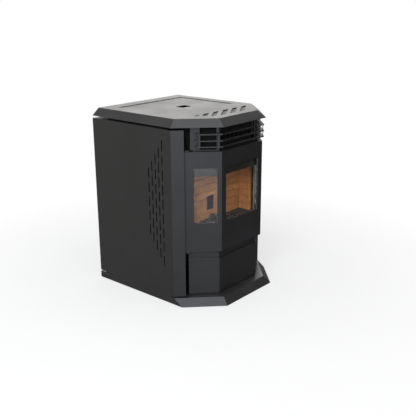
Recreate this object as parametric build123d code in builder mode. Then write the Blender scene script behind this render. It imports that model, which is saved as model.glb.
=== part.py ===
from build123d import *
import os
from math import ceil, cos, pi, radians, sin, sqrt, tan

# Pellet stove. Millimetres, +Z up, front towards -Y, origin on the floor under the middle.

# ---------------------------------------------------------------- driving dimensions
cabinet_width = 600.0
cabinet_depth = 667.0
cabinet_height = 812.0
rim_setback = 34.7          # top cover's rim behind the plinth's front edge
facet_depth = 153.4         # how far each 45 degree side facet runs back and out

half_width = cabinet_width / 2
rear_y = cabinet_depth / 2
rim_front_y = rim_setback - rear_y
rim_corner_x = half_width - facet_depth
facet_half = facet_depth / sqrt(2)
facet_middle_x = half_width - facet_depth / 2
facet_middle_y = rim_front_y + facet_depth / 2
half_turn = pi / 8

# Bay front: three facets. Every bay piece is the rim's outline moved in by its own inset;
# "run" is a place along a side facet, from the facet's middle towards the front.

sheet = 1.5                 # casing sheet
cover_plate = 2.0           # plinth and top cover plate
frame_plate = 3.0           # front frame, firebox, lower front panel
joint_gap = 0.3             # seated pieces that aren't welded
pin_clearance = 0.05        # running fit, on the radius
past = 1.0                  # how far a cutting solid runs past the face that it cuts

# Plinth
plinth_height = 32.1
plinth_slope = 32.2         # how far the sloped front leans back
floor_gap = 2.0             # plinth's lower edge above the floor
upstand_height = 28.0

# Casing
panel_bottom_z = 38.7
panel_top_z = cabinet_height - 40.8
panel_facet = 53.3          # width of the facet that is folded from each side panel
facet_end_run = panel_facet - facet_half
panel_return = 20.0
back_recess = 45.0          # rear panel in from the casing's rear edges
back_y = rear_y - back_recess - sheet
inner_x = half_width - sheet

# Top cover
rim_height = 30.7
rim_z = cabinet_height - rim_height
top_underside_z = cabinet_height - cover_plate
skirt_inset = 37.4
skirt_wall = 3.2            # measured level, through the sloped skirt

# Firebox and lining
firebox_half_width = half_width - 77.0
firebox_rear_y = rim_front_y + 220.8
firebox_floor_z = 314.0
firebox_top_z = cabinet_height - 140.0
brick_top_z = firebox_top_z - 61.0
rear_brick = 20.0
side_brick = 10.0
side_brick_gap = 0.8        # side bricks' front edge behind the corner of the firebox's wall
brick_row = 33.0
brick_length = 66.0
mortar_width = 2.4
mortar_depth = 2.0
chute_opening_width = 48.0
chute_opening_low_z = firebox_floor_z + 43.0
chute_opening_high_z = chute_opening_low_z + 67.0

# Hopper lid
lid_center_x = 6.0
lid_half_width = half_width - 96.0
lid_front_y = firebox_rear_y + 28.0
lid_rear_y = rear_y - 73.7
lid_plate = 2.5
lid_recess = 2.0            # lid's face below the top cover's
lid_seam = 1.5
lid_hinge_seam = 7.2
lid_corner_radius = 5.0
finger_hole_x = lid_center_x + 6.0
finger_hole_y = lid_front_y + 117.0
finger_hole_width = 62.0
finger_hole_depth = 46.0
finger_hole_radius = 12.0

# Slanted vents in the top cover
vent_count = 6
vent_pitch = 65.0
vent_first_x = -123.0
vent_rear_y = rim_front_y + 153.8
vent_front_y = vent_rear_y - 75.0
vent_width = 35.0
vent_lean = 111.0           # how far the front end stands to the left of the rear end
vent_left_margin = 135.4    # the vents stop on lines parallel to the facets, this far in, level
vent_right_margin = 93.4

# Side vents
slot_columns = 5
slot_column_pitch = 20.1
slot_first_y = rim_front_y + 205.3
slot_first_rows = 9
slot_row_pitch = 63.5
slot_length = 46.5
slot_width = 5.5
slot_middle_z = panel_top_z - 323.2

# Front frame and louvres: insets from the rim outline
frame_inset = 37.0
frame_run = facet_end_run + 15.2
column_run = facet_end_run + 27.2
frame_top_z = cabinet_height - 12.0
frame_step_z = cabinet_height - 134.0
louvre_open_low_z = frame_step_z + 4.0
louvre_open_top_z = frame_top_z - 5.0
column_inner_run = column_run + 41.0
post_run = facet_half - 27.5
post_half_x = rim_corner_x - 27.6
door_open_run = facet_end_run + 40.2
door_open_low_z = firebox_floor_z + 8.0
door_open_high_z = firebox_top_z - 104.0

louvre_tips_z = [cabinet_height - drop for drop in (64.5, 91.5, 117.0)]
louvre_inset = 8.0
louvre_reach = 15.0
louvre_lip = 5.0
louvre_sheet = 2.0
louvre_end_run = facet_end_run + 48.2
brace_runs = (4.0, 84.0)
brace_width = 9.0

# Door
door_inset = 14.6
door_face = 4.0
door_run = facet_end_run + 0.7
door_low_z = 238.0
door_high_z = cabinet_height - 134.6
door_back_gap = 0.4
door_end_depth = 16.4       # depth of the door's side edges, short enough to swing
door_flange_run = door_run + 7.5    # where the top and bottom edges' full depth ends
window_low_z = door_low_z + 129.0
window_high_z = door_high_z - 70.4
front_window_half = rim_corner_x - 33.6
side_window_outer_run = door_open_run
side_window_inner_run = facet_half - 25.1
window_corner_radius = 3.0

glass_thickness = 5.0
glass_overlap = 5.0
glass_gasket = 1.0
glass_gasket_set_back = 0.5
retainer_sheet = 2.0
retainer_screw_half_x = front_window_half - 33.0
retainer_screw_runs = [side_window_outer_run + 20.0, side_window_inner_run - 21.4]

rope_thickness = 7.6

hinge_axis_run = door_run + 10.5
hinge_axis_inset = 24.6
hinge_pin_radius = 4.0
hinge_pin_depth = 22.0      # how far each pin reaches into the door
hinge_ear = 4.0

handle_axis_run = door_run + 7.5
handle_axis_z = door_low_z + 219.0
handle_shaft_radius = 4.0

lower_panel_inset = 32.0
lower_panel_run = facet_end_run + 14.9
lower_panel_low_z = 36.7
lower_panel_high_z = 200.9

# Heat exchanger over the firebox
exchanger_half_width = firebox_half_width - 11.0
exchanger_inset = 60.0
exchanger_plate = 2.0
exchanger_high_z = cabinet_height - 46.0
exchanger_rear_y = firebox_rear_y + 33.0
tube_pitch = 30.0
tube_margin = 15.0          # last tube's axis from the front facet's corner
tube_radius = 13.0
tube_wall = 1.5
tube_end = 1.5              # tube ends stand this far out of their plates
tube_z = firebox_top_z + 50.0
roof_opening_half = rim_corner_x + 3.4
roof_opening_front_y = rim_front_y + 73.8
roof_opening_rear_y = firebox_rear_y - 32.0

# Burn pot
pot_half_width = 56.0
pot_front_y = rim_front_y + 106.8
pot_rear_y = pot_front_y + 74.0
pot_height = 46.0
pot_wall = 3.0
pot_taper = 8.0
pot_rim = 5.0
pot_rim_plate = 3.0
pot_drop = 34.0             # pot's bottom below its rim
pot_neck_gap = 4.0
plenum_half_width = 90.0
plenum_low_z = firebox_floor_z - 80.0
plenum_high_z = firebox_floor_z - 22.0
igniter_radius = 5.0
igniter_gap = 1.0

# Auger: its axis climbs from the low end towards the firebox
auger_angle = 40.0
auger_low_y = back_y - 147.0
auger_end_y = firebox_rear_y + 50.2
auger_end_z = chute_opening_high_z + 41.8
auger_tube_radius = 29.0
auger_tube_wall = 2.0
auger_shaft_radius = 8.0
auger_flight_radius = 25.0
auger_pitch = 45.0
gearbox_size = 60.0
gearbox_length = 40.0
auger_slope = tan(radians(auger_angle))
auger_low_z = auger_end_z - (auger_low_y - auger_end_y) * auger_slope
auger_length = (auger_low_y - auger_end_y) / cos(radians(auger_angle))

# Hopper
mouth_half_width = lid_half_width - 33.0
mouth_front_y = lid_front_y + 30.0
mouth_rear_y = lid_rear_y - 46.8
hopper_flange_z = cabinet_height - 14.0
neck_top_z = auger_low_z + 115.0
neck_half_width = 26.0
neck_front_y = auger_low_y - 70.0
neck_rear_y = auger_low_y - 15.0
hopper_bend_z = neck_top_z + 120.0

# Pipes at the back
flue_x = 120.0
flue_z = 170.0
flue_radius = 38.0
intake_x = -60.0
intake_z = firebox_floor_z - 52.0
intake_radius = 25.0
pipe_wall = 1.5
pipe_end_gap = 2.5          # pipes stop this far inside the casing's rear edges

# Exhaust blower
exhaust_half_width = 40.0
exhaust_y = back_y - 147.0
exhaust_z = flue_z + 35.0
exhaust_radius = 75.0
exhaust_neck_end_y = back_y - 55.0
exhaust_wheel_radius = 60.0
blower_eye_radius = 20.0
shaft_radius = 5.0
exhaust_low_x = flue_x - exhaust_half_width
exhaust_high_x = flue_x + exhaust_half_width

# Room air blower
room_low_x = 88.0 - half_width
room_high_x = room_low_x + 110.0
room_y = back_y - 112.0
room_z = 118.0
room_radius = 68.0
cage_radius = 58.0
cage_length = 84.0
duct_low_x = room_low_x + 4.0
duct_high_x = duct_low_x + 71.0
duct_low_z = room_z + 7.0
duct_turn_z = duct_low_z + 59.0
duct_joint_y = room_y - 115.0

# Ash pan
pan_half_width = rim_corner_x - 28.6
pan_low_z = 62.0
pan_high_z = 186.0
pan_length = 172.0
pan_opening_margin = 6.0

# Control panel in the right side
control_low_y = rear_y - 258.5
control_high_y = control_low_y + 130.0
control_low_z = cabinet_height - 212.0
control_high_z = control_low_z + 100.0
button_ys = [control_low_y + step for step in (25.0, 65.0, 105.0)]
button_z = control_low_z + 24.0
button_radius = 8.0

# Power inlet on the rear panel
inlet_x = half_width - 64.0
inlet_z = 110.0
switch_z = inlet_z + 36.0

left, right = -1, 1

os.makedirs("parts", exist_ok=True)


# ---------------------------------------------------------------- shared geometry
def bay_corner(inset):
    """Corner between the front facet and the right-hand facet."""
    return (rim_corner_x - inset * tan(half_turn), rim_front_y + inset)


def facet_reach(inset):
    """On the right-hand facet x minus y is this everywhere."""
    return rim_corner_x - rim_front_y - inset * sqrt(2)


def facet_point(inset, run):
    """Point on the right-hand facet."""
    return (
        facet_middle_x - (inset + run) / sqrt(2),
        facet_middle_y + (inset - run) / sqrt(2),
    )


def mirrored(points):
    return [(-x, y) for x, y in points]


def sided(points, side):
    """The outline as it is on the right, or its mirror image on the left."""
    return points if side == right else mirrored(points)


def bay_line(inset, run):
    """Left facet end, both corners, right facet end."""
    half = [bay_corner(inset), facet_point(inset, run)]
    return mirrored(reversed(half)) + half


def bay_band(inset, wall, run):
    """Plan outline of a plate that follows the bay."""
    return bay_line(inset, run) + list(reversed(bay_line(inset + wall, run)))


def facet_band(inset, wall, run_low, run_high):
    """Plan outline of a plate on the right-hand facet."""
    return [
        facet_point(inset, run_low),
        facet_point(inset, run_high),
        facet_point(inset + wall, run_high),
        facet_point(inset + wall, run_low),
    ]


def cabinet_outline(inset, side_inset=0.0, rear_inset=0.0):
    """Plan outline of the whole cabinet."""
    side_x = half_width - side_inset
    half = [
        (side_x, rear_y - rear_inset),
        (side_x, side_x - facet_reach(inset)),
        bay_corner(inset),
    ]
    return half + mirrored(reversed(half))


def rectangle(x_low, x_high, y_low, y_high):
    return [(x_low, y_low), (x_high, y_low), (x_high, y_high), (x_low, y_high)]


def grown(points, amount):
    """A rectangle's outline with every side moved out."""
    (x_low, y_low), (x_high, y_high) = points[0], points[2]
    return rectangle(x_low - amount, x_high + amount, y_low - amount, y_high + amount)


def prism(points, z_low, z_high, mode=Mode.ADD):
    """Stands a plan outline up between two heights."""
    with BuildSketch(Plane.XY.offset(z_low)) as plan:
        Polygon(*points, align=None)
    extrude(plan.sketch, amount=z_high - z_low, mode=mode)


def side_prism(points, x_low, x_high, mode=Mode.ADD):
    """Stretches a side outline of (y, z) points along X."""
    with BuildSketch(Plane.YZ.offset(x_low)) as outline:
        Polygon(*points, align=None)
    extrude(outline.sketch, amount=x_high - x_low, mode=mode)


def taper(low_points, z_low, high_points, z_high, mode=Mode.ADD):
    """Straight-sided solid from one plan outline up to another."""
    with BuildSketch(Plane.XY.offset(z_low)) as lower:
        Polygon(*low_points, align=None)
    with BuildSketch(Plane.XY.offset(z_high)) as upper:
        Polygon(*high_points, align=None)
    loft([lower.sketch.face(), upper.sketch.face()], ruled=True, mode=mode)


def block(x_low, x_high, y_low, y_high, z_low, z_high, mode=Mode.ADD):
    prism(rectangle(x_low, x_high, y_low, y_high), z_low, z_high, mode)


def rod(start, direction, radius, length, mode=Mode.ADD):
    """Cylinder from a start point along a direction."""
    with BuildSketch(Plane(origin=start, z_dir=direction)) as section:
        Circle(radius)
    extrude(section.sketch, amount=length, mode=mode)


def finish(built, name):
    built.part.label = name
    export_step(built.part, "parts/" + name + ".step")


# ---------------------------------------------------------------- plinth and feet
foot_rear_x = half_width - 55.0
foot_rear_y = rear_y - 71.5
foot_front_x = half_width - 140.0
foot_front_y = rim_front_y + 118.8
foot_spots = [
    (-foot_rear_x, foot_rear_y),
    (foot_rear_x, foot_rear_y),
    (-foot_front_x, foot_front_y),
    (foot_front_x, foot_front_y),
]
foot_pad_radius = 18.0
foot_pad_height = 5.0
foot_boss_radius = 10.8
foot_boss_height = 5.0
foot_stud_radius = 5.0
foot_stud_length = 36.0
foot_hole_clearance = 0.5
foot_nut_radius = 9.5
foot_nut_height = 8.0
upstand_front_y = rim_front_y + 168.8
upstand_rear_gap = 1.0
plinth_lean = plinth_slope / (plinth_height - floor_gap)
plinth_top_inset = -rim_setback + plinth_slope


def plinth_inset(z):
    return plinth_top_inset - (plinth_height - z) * plinth_lean


with BuildPart() as base_plinth:
    deck_z = plinth_height - cover_plate
    taper(
        cabinet_outline(-rim_setback),
        floor_gap,
        cabinet_outline(plinth_top_inset),
        plinth_height,
    )
    taper(
        cabinet_outline(plinth_inset(floor_gap) + cover_plate, cover_plate, cover_plate),
        floor_gap,
        cabinet_outline(plinth_inset(deck_z) + cover_plate, cover_plate, cover_plate),
        deck_z,
        mode=Mode.SUBTRACT,
    )
    upstand_top = plinth_height + upstand_height
    for side in (left, right):
        outline = rectangle(
            inner_x - cover_plate, inner_x, upstand_front_y, back_y - upstand_rear_gap
        )
        prism(sided(outline, side), plinth_height, upstand_top)
    for x, y in foot_spots:
        hole_radius = foot_stud_radius + foot_hole_clearance
        rod((x, y, 0), (0, 0, 1), hole_radius, plinth_height + past, Mode.SUBTRACT)
finish(base_plinth, "base_plinth")

with BuildPart() as leveling_feet:
    for x, y in foot_spots:
        stud_z = foot_pad_height + foot_boss_height
        rod((x, y, 0), (0, 0, 1), foot_pad_radius, foot_pad_height)
        rod((x, y, foot_pad_height), (0, 0, 1), foot_boss_radius, foot_boss_height)
        rod((x, y, stud_z), (0, 0, 1), foot_stud_radius, foot_stud_length)
        with BuildSketch(Plane.XY.offset(deck_z - foot_nut_height)) as under_nut:
            with Locations((x, y)):
                RegularPolygon(foot_nut_radius, 6)
        extrude(under_nut.sketch, amount=foot_nut_height)
        with BuildSketch(Plane.XY.offset(plinth_height)) as upper_nut:
            with Locations((x, y)):
                RegularPolygon(foot_nut_radius, 6)
        extrude(upper_nut.sketch, amount=foot_nut_height)
finish(leveling_feet, "leveling_feet")


# ---------------------------------------------------------------- casing
frame_web_x = half_width - 50.0
rail_z = cabinet_height - 71.0
post_size = 25.0
post_plate = 2.5
top_flange_front_y = rim_front_y + 183.8
screw_count = 5
screw_low_z = 90.0
screw_high_z = panel_top_z - 81.2
screw_pitch = (screw_high_z - screw_low_z) / (screw_count - 1)
screw_zs = [screw_low_z + index * screw_pitch for index in range(screw_count)]
screw_x = inner_x - cover_plate - 12.0
screw_radius = 2.0
screw_hole_radius = 2.2
screw_length = 8.0
screw_head_radius = 4.0
screw_head_height = 2.4


def panel_plan(side):
    """Side panel: rear return, flat side, folded facet."""
    outline = [
        (half_width, rear_y),
        (half_width, half_width - facet_reach(0)),
        facet_point(0, facet_end_run),
        facet_point(sheet, facet_end_run),
        (inner_x, inner_x - facet_reach(sheet)),
        (inner_x, rear_y - sheet),
        (half_width - panel_return, rear_y - sheet),
        (half_width - panel_return, rear_y),
    ]
    return sided(outline, side)


def side_panel_body(side):
    prism(panel_plan(side), panel_bottom_z, panel_top_z)
    top_flange = rectangle(
        frame_web_x + cover_plate, inner_x, top_flange_front_y, rear_y - sheet
    )
    prism(sided(top_flange, side), panel_top_z - sheet, panel_top_z)
    with BuildSketch(Plane.YZ.offset(side * half_width - sheet - past)) as vents:
        for column in range(slot_columns):
            rows = slot_first_rows - column
            y = slot_first_y + column * slot_column_pitch
            for row in range(rows):
                z = slot_middle_z + (row - (rows - 1) / 2) * slot_row_pitch
                with Locations((y, z)):
                    SlotOverall(slot_length, slot_width, rotation=90)
    extrude(vents.sketch, amount=2 * (sheet + past), mode=Mode.SUBTRACT)


with BuildPart() as left_side_panel:
    side_panel_body(left)
finish(left_side_panel, "left_side_panel")

with BuildPart() as right_side_panel:
    side_panel_body(right)
    block(
        inner_x - past,
        half_width + past,
        control_low_y,
        control_high_y,
        control_low_z,
        control_high_z,
        Mode.SUBTRACT,
    )
finish(right_side_panel, "right_side_panel")

inlet_half_width = 24.0
inlet_low_z = inlet_z - 14.0
inlet_high_z = switch_z + 12.0
back_flange = 12.0
room_slot_count = 9
room_slot_pitch = 11.0
room_slot_length = 96.0
room_slot_width = 4.5
back_cut_y = back_y - past
back_cut = sheet + 2 * past
back_bottom_z = plinth_height
back_top_z = panel_top_z - sheet

with BuildPart() as back_panel:
    block(-inner_x, inner_x, back_y, back_y + sheet, back_bottom_z, back_top_z)
    for side in (left, right):
        flange = rectangle(
            inner_x - sheet, inner_x, back_y + sheet, back_y + sheet + back_flange
        )
        prism(sided(flange, side), back_bottom_z, back_top_z)
    for x, z, radius in ((flue_x, flue_z, flue_radius), (intake_x, intake_z, intake_radius)):
        rod((x, back_cut_y, z), (0, 1, 0), radius + joint_gap, back_cut, Mode.SUBTRACT)
    block(
        inlet_x - inlet_half_width,
        inlet_x + inlet_half_width,
        back_cut_y,
        back_cut_y + back_cut,
        inlet_low_z,
        inlet_high_z,
        Mode.SUBTRACT,
    )
    for z in screw_zs:
        for side in (left, right):
            spot = (side * screw_x, back_cut_y, z)
            rod(spot, (0, 1, 0), screw_hole_radius, back_cut, Mode.SUBTRACT)
    with BuildSketch(Plane.XZ.offset(-back_cut_y - back_cut)) as grille:
        with Locations(((room_low_x + room_high_x) / 2, room_z)):
            with GridLocations(room_slot_length, room_slot_pitch, 1, room_slot_count):
                SlotOverall(room_slot_length, room_slot_width)
    extrude(grille.sketch, amount=back_cut, mode=Mode.SUBTRACT)
finish(back_panel, "back_panel")

with BuildPart() as rear_posts:
    outer_x = inner_x - cover_plate
    for side in (left, right):
        angle = [
            (outer_x, back_y),
            (outer_x, back_y - post_size),
            (outer_x - post_plate, back_y - post_size),
            (outer_x - post_plate, back_y - post_plate),
            (outer_x - post_size, back_y - post_plate),
            (outer_x - post_size, back_y),
        ]
        prism(sided(angle, side), plinth_height, rail_z)
        for z in screw_zs:
            spot = (side * screw_x, back_y - post_plate - past, z)
            rod(spot, (0, 1, 0), screw_hole_radius, post_plate + 2 * past, Mode.SUBTRACT)
finish(rear_posts, "rear_posts")

cross_bar_y = firebox_rear_y + 16.0
upper_flange = 20.0
deck_drop = 2.0             # deck's upper face below the top cover's plate
deck_inset = 46.0
deck_half_x = frame_web_x - 14.0
deck_front = bay_corner(deck_inset)
with BuildPart() as upper_frame:
    web = frame_web_x + cover_plate
    for side in (left, right):
        prism(
            sided(rectangle(frame_web_x, web, cross_bar_y, back_y), side), rail_z, top_underside_z
        )
        prism(
            sided(rectangle(web, outer_x, cross_bar_y, back_y), side), rail_z, rail_z + cover_plate
        )
        prism(
            sided(rectangle(frame_web_x - upper_flange, frame_web_x, cross_bar_y, back_y), side),
            top_underside_z - cover_plate,
            top_underside_z,
        )
    block(-frame_web_x, frame_web_x, back_y - cover_plate, back_y, rail_z, top_underside_z)
    block(
        -frame_web_x,
        frame_web_x,
        cross_bar_y,
        cross_bar_y + cover_plate,
        exchanger_high_z,
        top_underside_z,
    )
    deck_half = [
        (deck_half_x, cross_bar_y + cover_plate),
        (deck_half_x, deck_half_x - facet_reach(deck_inset)),
        deck_front,
    ]
    deck_z = top_underside_z - deck_drop
    prism(deck_half + list(reversed(mirrored(deck_half))), deck_z - cover_plate, deck_z)
finish(upper_frame, "upper_frame")

with BuildPart() as casing_screws:
    for z in screw_zs:
        for side in (left, right):
            tip = (side * screw_x, back_y - screw_length, z)
            head = (side * screw_x, back_y + sheet, z)
            rod(tip, (0, 1, 0), screw_radius, screw_length + sheet)
            rod(head, (0, 1, 0), screw_head_radius, screw_head_height)
finish(casing_screws, "casing_screws")


# ---------------------------------------------------------------- top cover
def skirt_inset_at(z):
    """The skirt's outer face, measured in from the rim."""
    return skirt_inset * (z - rim_z) / rim_height


lid_low_x = lid_center_x - lid_half_width
lid_high_x = lid_center_x + lid_half_width
lid_opening = rectangle(
    lid_low_x - lid_seam,
    lid_high_x + lid_seam,
    lid_front_y - lid_seam,
    lid_rear_y + lid_hinge_seam,
)

with BuildPart() as top_cover:
    taper(
        cabinet_outline(0),
        rim_z,
        cabinet_outline(skirt_inset, skirt_inset),
        cabinet_height,
    )
    inner_low = skirt_wall
    inner_high = skirt_inset_at(top_underside_z) + skirt_wall
    taper(
        cabinet_outline(inner_low, inner_low, cover_plate),
        rim_z,
        cabinet_outline(inner_high, inner_high, cover_plate),
        top_underside_z,
        mode=Mode.SUBTRACT,
    )
    cut_z = top_underside_z - past
    cut_height = cover_plate + 2 * past
    prism(lid_opening, cut_z, cut_z + cut_height, Mode.SUBTRACT)
    for x, y in (lid_opening[1], lid_opening[3]):
        rod((x, y, cut_z), (0, 0, 1), lid_corner_radius, cut_height, Mode.SUBTRACT)
    left_line = facet_reach(0) - vent_left_margin
    right_line = facet_reach(0) - vent_right_margin
    with BuildSketch(Plane.XY.offset(cut_z)) as vents:
        for index in range(vent_count):
            x = vent_first_x + index * vent_pitch
            Polygon(
                (x, vent_rear_y),
                (x - vent_width, vent_rear_y),
                (x - vent_width - vent_lean, vent_front_y),
                (x - vent_lean, vent_front_y),
                align=None,
            )
        Polygon(
            (-left_line - vent_rear_y, vent_rear_y),
            (right_line + vent_rear_y, vent_rear_y),
            (right_line + vent_front_y, vent_front_y),
            (-left_line - vent_front_y, vent_front_y),
            align=None,
            mode=Mode.INTERSECT,
        )
    extrude(vents.sketch, amount=cut_height, mode=Mode.SUBTRACT)
finish(top_cover, "top_cover")


# ---------------------------------------------------------------- hopper lid
lid_top_z = cabinet_height - lid_recess
lid_underside_z = lid_top_z - lid_plate
lid_rib_depth = 7.5
lid_rib_inset = 4.0
lid_rib_rear_y = mouth_rear_y + 22.0
hinge_axis_y = lid_rear_y + 3.2
lid_hinge_z = lid_underside_z
knuckle_radius = 2.4
lid_pin_radius = 1.2
knuckle_count = 9
knuckle_gap = 0.4
hinge_end_gap = 8.0
knuckle_low_x = lid_low_x + hinge_end_gap
hinge_length = 2 * (lid_half_width - hinge_end_gap)
knuckle_length = hinge_length / knuckle_count
leaf_plate = 1.2
leaf_width = 18.0
leaf_reach = knuckle_radius + 0.6   # from the hinge's axis to each leaf's flat part

with BuildPart() as hopper_lid:
    prism(
        rectangle(lid_low_x, lid_high_x, lid_front_y, lid_rear_y), lid_underside_z, lid_top_z
    )
    fillet(hopper_lid.edges().filter_by(Axis.Z), lid_corner_radius)
    with BuildSketch(Plane.XY.offset(lid_underside_z - past)) as finger_hole:
        with Locations((finger_hole_x, finger_hole_y)):
            RectangleRounded(finger_hole_width, finger_hole_depth, finger_hole_radius)
    extrude(finger_hole.sketch, amount=lid_plate + 2 * past, mode=Mode.SUBTRACT)
    rib_outline = rectangle(
        lid_low_x + lid_rib_inset,
        lid_high_x - lid_rib_inset,
        lid_front_y + lid_rib_inset,
        lid_rib_rear_y,
    )
    with BuildSketch(Plane.XY.offset(lid_underside_z - lid_rib_depth)) as rib:
        Polygon(*rib_outline, align=None)
        Polygon(*grown(rib_outline, -sheet), align=None, mode=Mode.SUBTRACT)
    extrude(rib.sketch, amount=lid_rib_depth)
finish(hopper_lid, "hopper_lid")


def knuckle_span(index):
    x = knuckle_low_x + index * knuckle_length
    return x + knuckle_gap / 2, x + knuckle_length - knuckle_gap / 2


def hinge_leaf(first, y_near, y_far, top):
    """One leaf, with every other knuckle rolled from its edge."""
    y_low, y_high = sorted((y_near, y_far))
    block(knuckle_low_x, knuckle_low_x + hinge_length, y_low, y_high, top - leaf_plate, top)
    for index in range(first, knuckle_count, 2):
        x_low, x_high = knuckle_span(index)
        rod((x_low, hinge_axis_y, lid_hinge_z), (1, 0, 0), knuckle_radius, x_high - x_low)
        y_low, y_high = sorted((hinge_axis_y, y_near))
        block(x_low, x_high, y_low, y_high, top - leaf_plate, top)


fixed_leaf_y = hinge_axis_y + leaf_reach
with BuildPart() as lid_hinge_fixed:
    hinge_leaf(0, fixed_leaf_y, fixed_leaf_y + leaf_width, top_underside_z)
    rod((knuckle_low_x, hinge_axis_y, lid_hinge_z), (1, 0, 0), lid_pin_radius, hinge_length)
finish(lid_hinge_fixed, "lid_hinge_fixed")

moving_leaf_y = hinge_axis_y - leaf_reach
with BuildPart() as lid_hinge_moving:
    hinge_leaf(1, moving_leaf_y, moving_leaf_y - leaf_width, lid_underside_z)
    rod(
        (knuckle_low_x - past, hinge_axis_y, lid_hinge_z),
        (1, 0, 0),
        lid_pin_radius + pin_clearance,
        hinge_length + 2 * past,
        Mode.SUBTRACT,
    )
finish(lid_hinge_moving, "lid_hinge_moving")


# ---------------------------------------------------------------- hopper
mouth = rectangle(
    lid_center_x - mouth_half_width, lid_center_x + mouth_half_width, mouth_front_y, mouth_rear_y
)
neck = rectangle(-neck_half_width, neck_half_width, neck_front_y, neck_rear_y)
gasket_width = 12.0
gasket_margin = 3.0         # lid gasket out from the mouth
hopper_flange_rear_y = moving_leaf_y + 6.0
auger_dir = (0, -cos(radians(auger_angle)), sin(radians(auger_angle)))
auger_start = (0, auger_low_y, auger_low_z)
auger_plane = Plane(origin=auger_start, x_dir=(1, 0, 0), z_dir=auger_dir)


def auger_z(y):
    """Height of the auger's axis."""
    return auger_low_z + (auger_low_y - y) * auger_slope


def auger_rod(begin, radius, length, mode=Mode.ADD):
    """Round piece on the auger's axis, begun a distance up from its low end."""
    with BuildSketch(auger_plane.offset(begin)) as section:
        Circle(radius)
    extrude(section.sketch, amount=length, mode=mode)


def auger_square(begin, size, length, mode=Mode.ADD):
    with BuildSketch(auger_plane.offset(begin)) as section:
        Rectangle(size, size)
    extrude(section.sketch, amount=length, mode=mode)


with BuildPart() as hopper_bin:
    flange_low = hopper_flange_z - cover_plate
    block(
        -frame_web_x,
        frame_web_x,
        cross_bar_y + cover_plate,
        hopper_flange_rear_y,
        flange_low,
        hopper_flange_z,
    )
    prism(grown(mouth, sheet), hopper_bend_z, flange_low)
    taper(grown(neck, sheet), neck_top_z, grown(mouth, sheet), hopper_bend_z)
    neck_side = [
        (neck_front_y - sheet, neck_top_z),
        (neck_rear_y + sheet, neck_top_z),
        (neck_rear_y + sheet, auger_z(neck_rear_y + sheet)),
        (neck_front_y - sheet, auger_z(neck_front_y - sheet)),
    ]
    side_prism(neck_side, -neck_half_width - sheet, neck_half_width + sheet)
    prism(mouth, hopper_bend_z, hopper_flange_z + past, Mode.SUBTRACT)
    taper(neck, neck_top_z, mouth, hopper_bend_z, Mode.SUBTRACT)
    prism(neck, auger_low_z, neck_top_z, Mode.SUBTRACT)
    auger_rod(-gearbox_size, auger_tube_radius + joint_gap, auger_length, Mode.SUBTRACT)
finish(hopper_bin, "hopper_bin")

with BuildPart() as lid_gasket:
    gasket_inner = grown(mouth, gasket_margin)
    prism(grown(gasket_inner, gasket_width), hopper_flange_z, lid_underside_z - joint_gap)
    prism(gasket_inner, hopper_flange_z - past, lid_underside_z + past, Mode.SUBTRACT)
finish(lid_gasket, "lid_gasket")


# ---------------------------------------------------------------- front frame
with BuildPart() as front_frame:
    prism(bay_band(frame_inset, frame_plate, frame_run), plinth_height, frame_step_z)
    prism(bay_band(frame_inset, frame_plate, column_run), frame_step_z, frame_top_z)
    cut_inset = frame_inset - past
    cut_depth = frame_plate + 2 * past
    prism(
        bay_band(cut_inset, cut_depth, door_open_run),
        door_open_low_z,
        door_open_high_z,
        Mode.SUBTRACT,
    )
    frame_front_y = rim_front_y + frame_inset
    cut_low_y = frame_front_y - past
    cut_high_y = cut_low_y + cut_depth
    block(
        -post_half_x,
        post_half_x,
        cut_low_y,
        cut_high_y,
        louvre_open_low_z,
        louvre_open_top_z,
        Mode.SUBTRACT,
    )
    for side in (left, right):
        opening = facet_band(cut_inset, cut_depth, column_inner_run, post_run)
        prism(sided(opening, side), louvre_open_low_z, louvre_open_top_z, Mode.SUBTRACT)
    block(
        -pan_half_width - pan_opening_margin,
        pan_half_width + pan_opening_margin,
        cut_low_y,
        cut_high_y,
        pan_low_z - pan_opening_margin,
        pan_high_z + pan_opening_margin,
        Mode.SUBTRACT,
    )
finish(front_frame, "front_frame")

jamb_run = facet_end_run - 5.8
jamb_leaf = 24.0
jamb_foot = 25.0
jamb_front_y = top_flange_front_y - jamb_foot
jamb_back_inset = sqrt(2) * (facet_middle_x - firebox_half_width) - jamb_run - sheet
keeper_inset = frame_inset - 9.0
keeper_width = 12.0
keeper_low_z = handle_axis_z - 7.0
keeper_high_z = handle_axis_z + 19.0
with BuildPart() as door_jambs:
    for side in (left, right):
        leaf = facet_band(sheet, sheet, jamb_run - jamb_leaf, jamb_run)
        prism(sided(leaf, side), panel_bottom_z, rail_z)
        web = facet_band(sheet, jamb_back_inset - sheet, jamb_run - sheet, jamb_run)
        prism(sided(web, side), panel_bottom_z, rail_z)
        foot = rectangle(
            firebox_half_width, firebox_half_width + sheet, jamb_front_y, top_flange_front_y
        )
        prism(sided(foot, side), panel_bottom_z, rail_z)
    prism(
        facet_band(keeper_inset, keeper_width, jamb_run - sheet - past, jamb_run + past),
        keeper_low_z,
        keeper_high_z,
        Mode.SUBTRACT,
    )
finish(door_jambs, "door_jambs")

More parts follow.
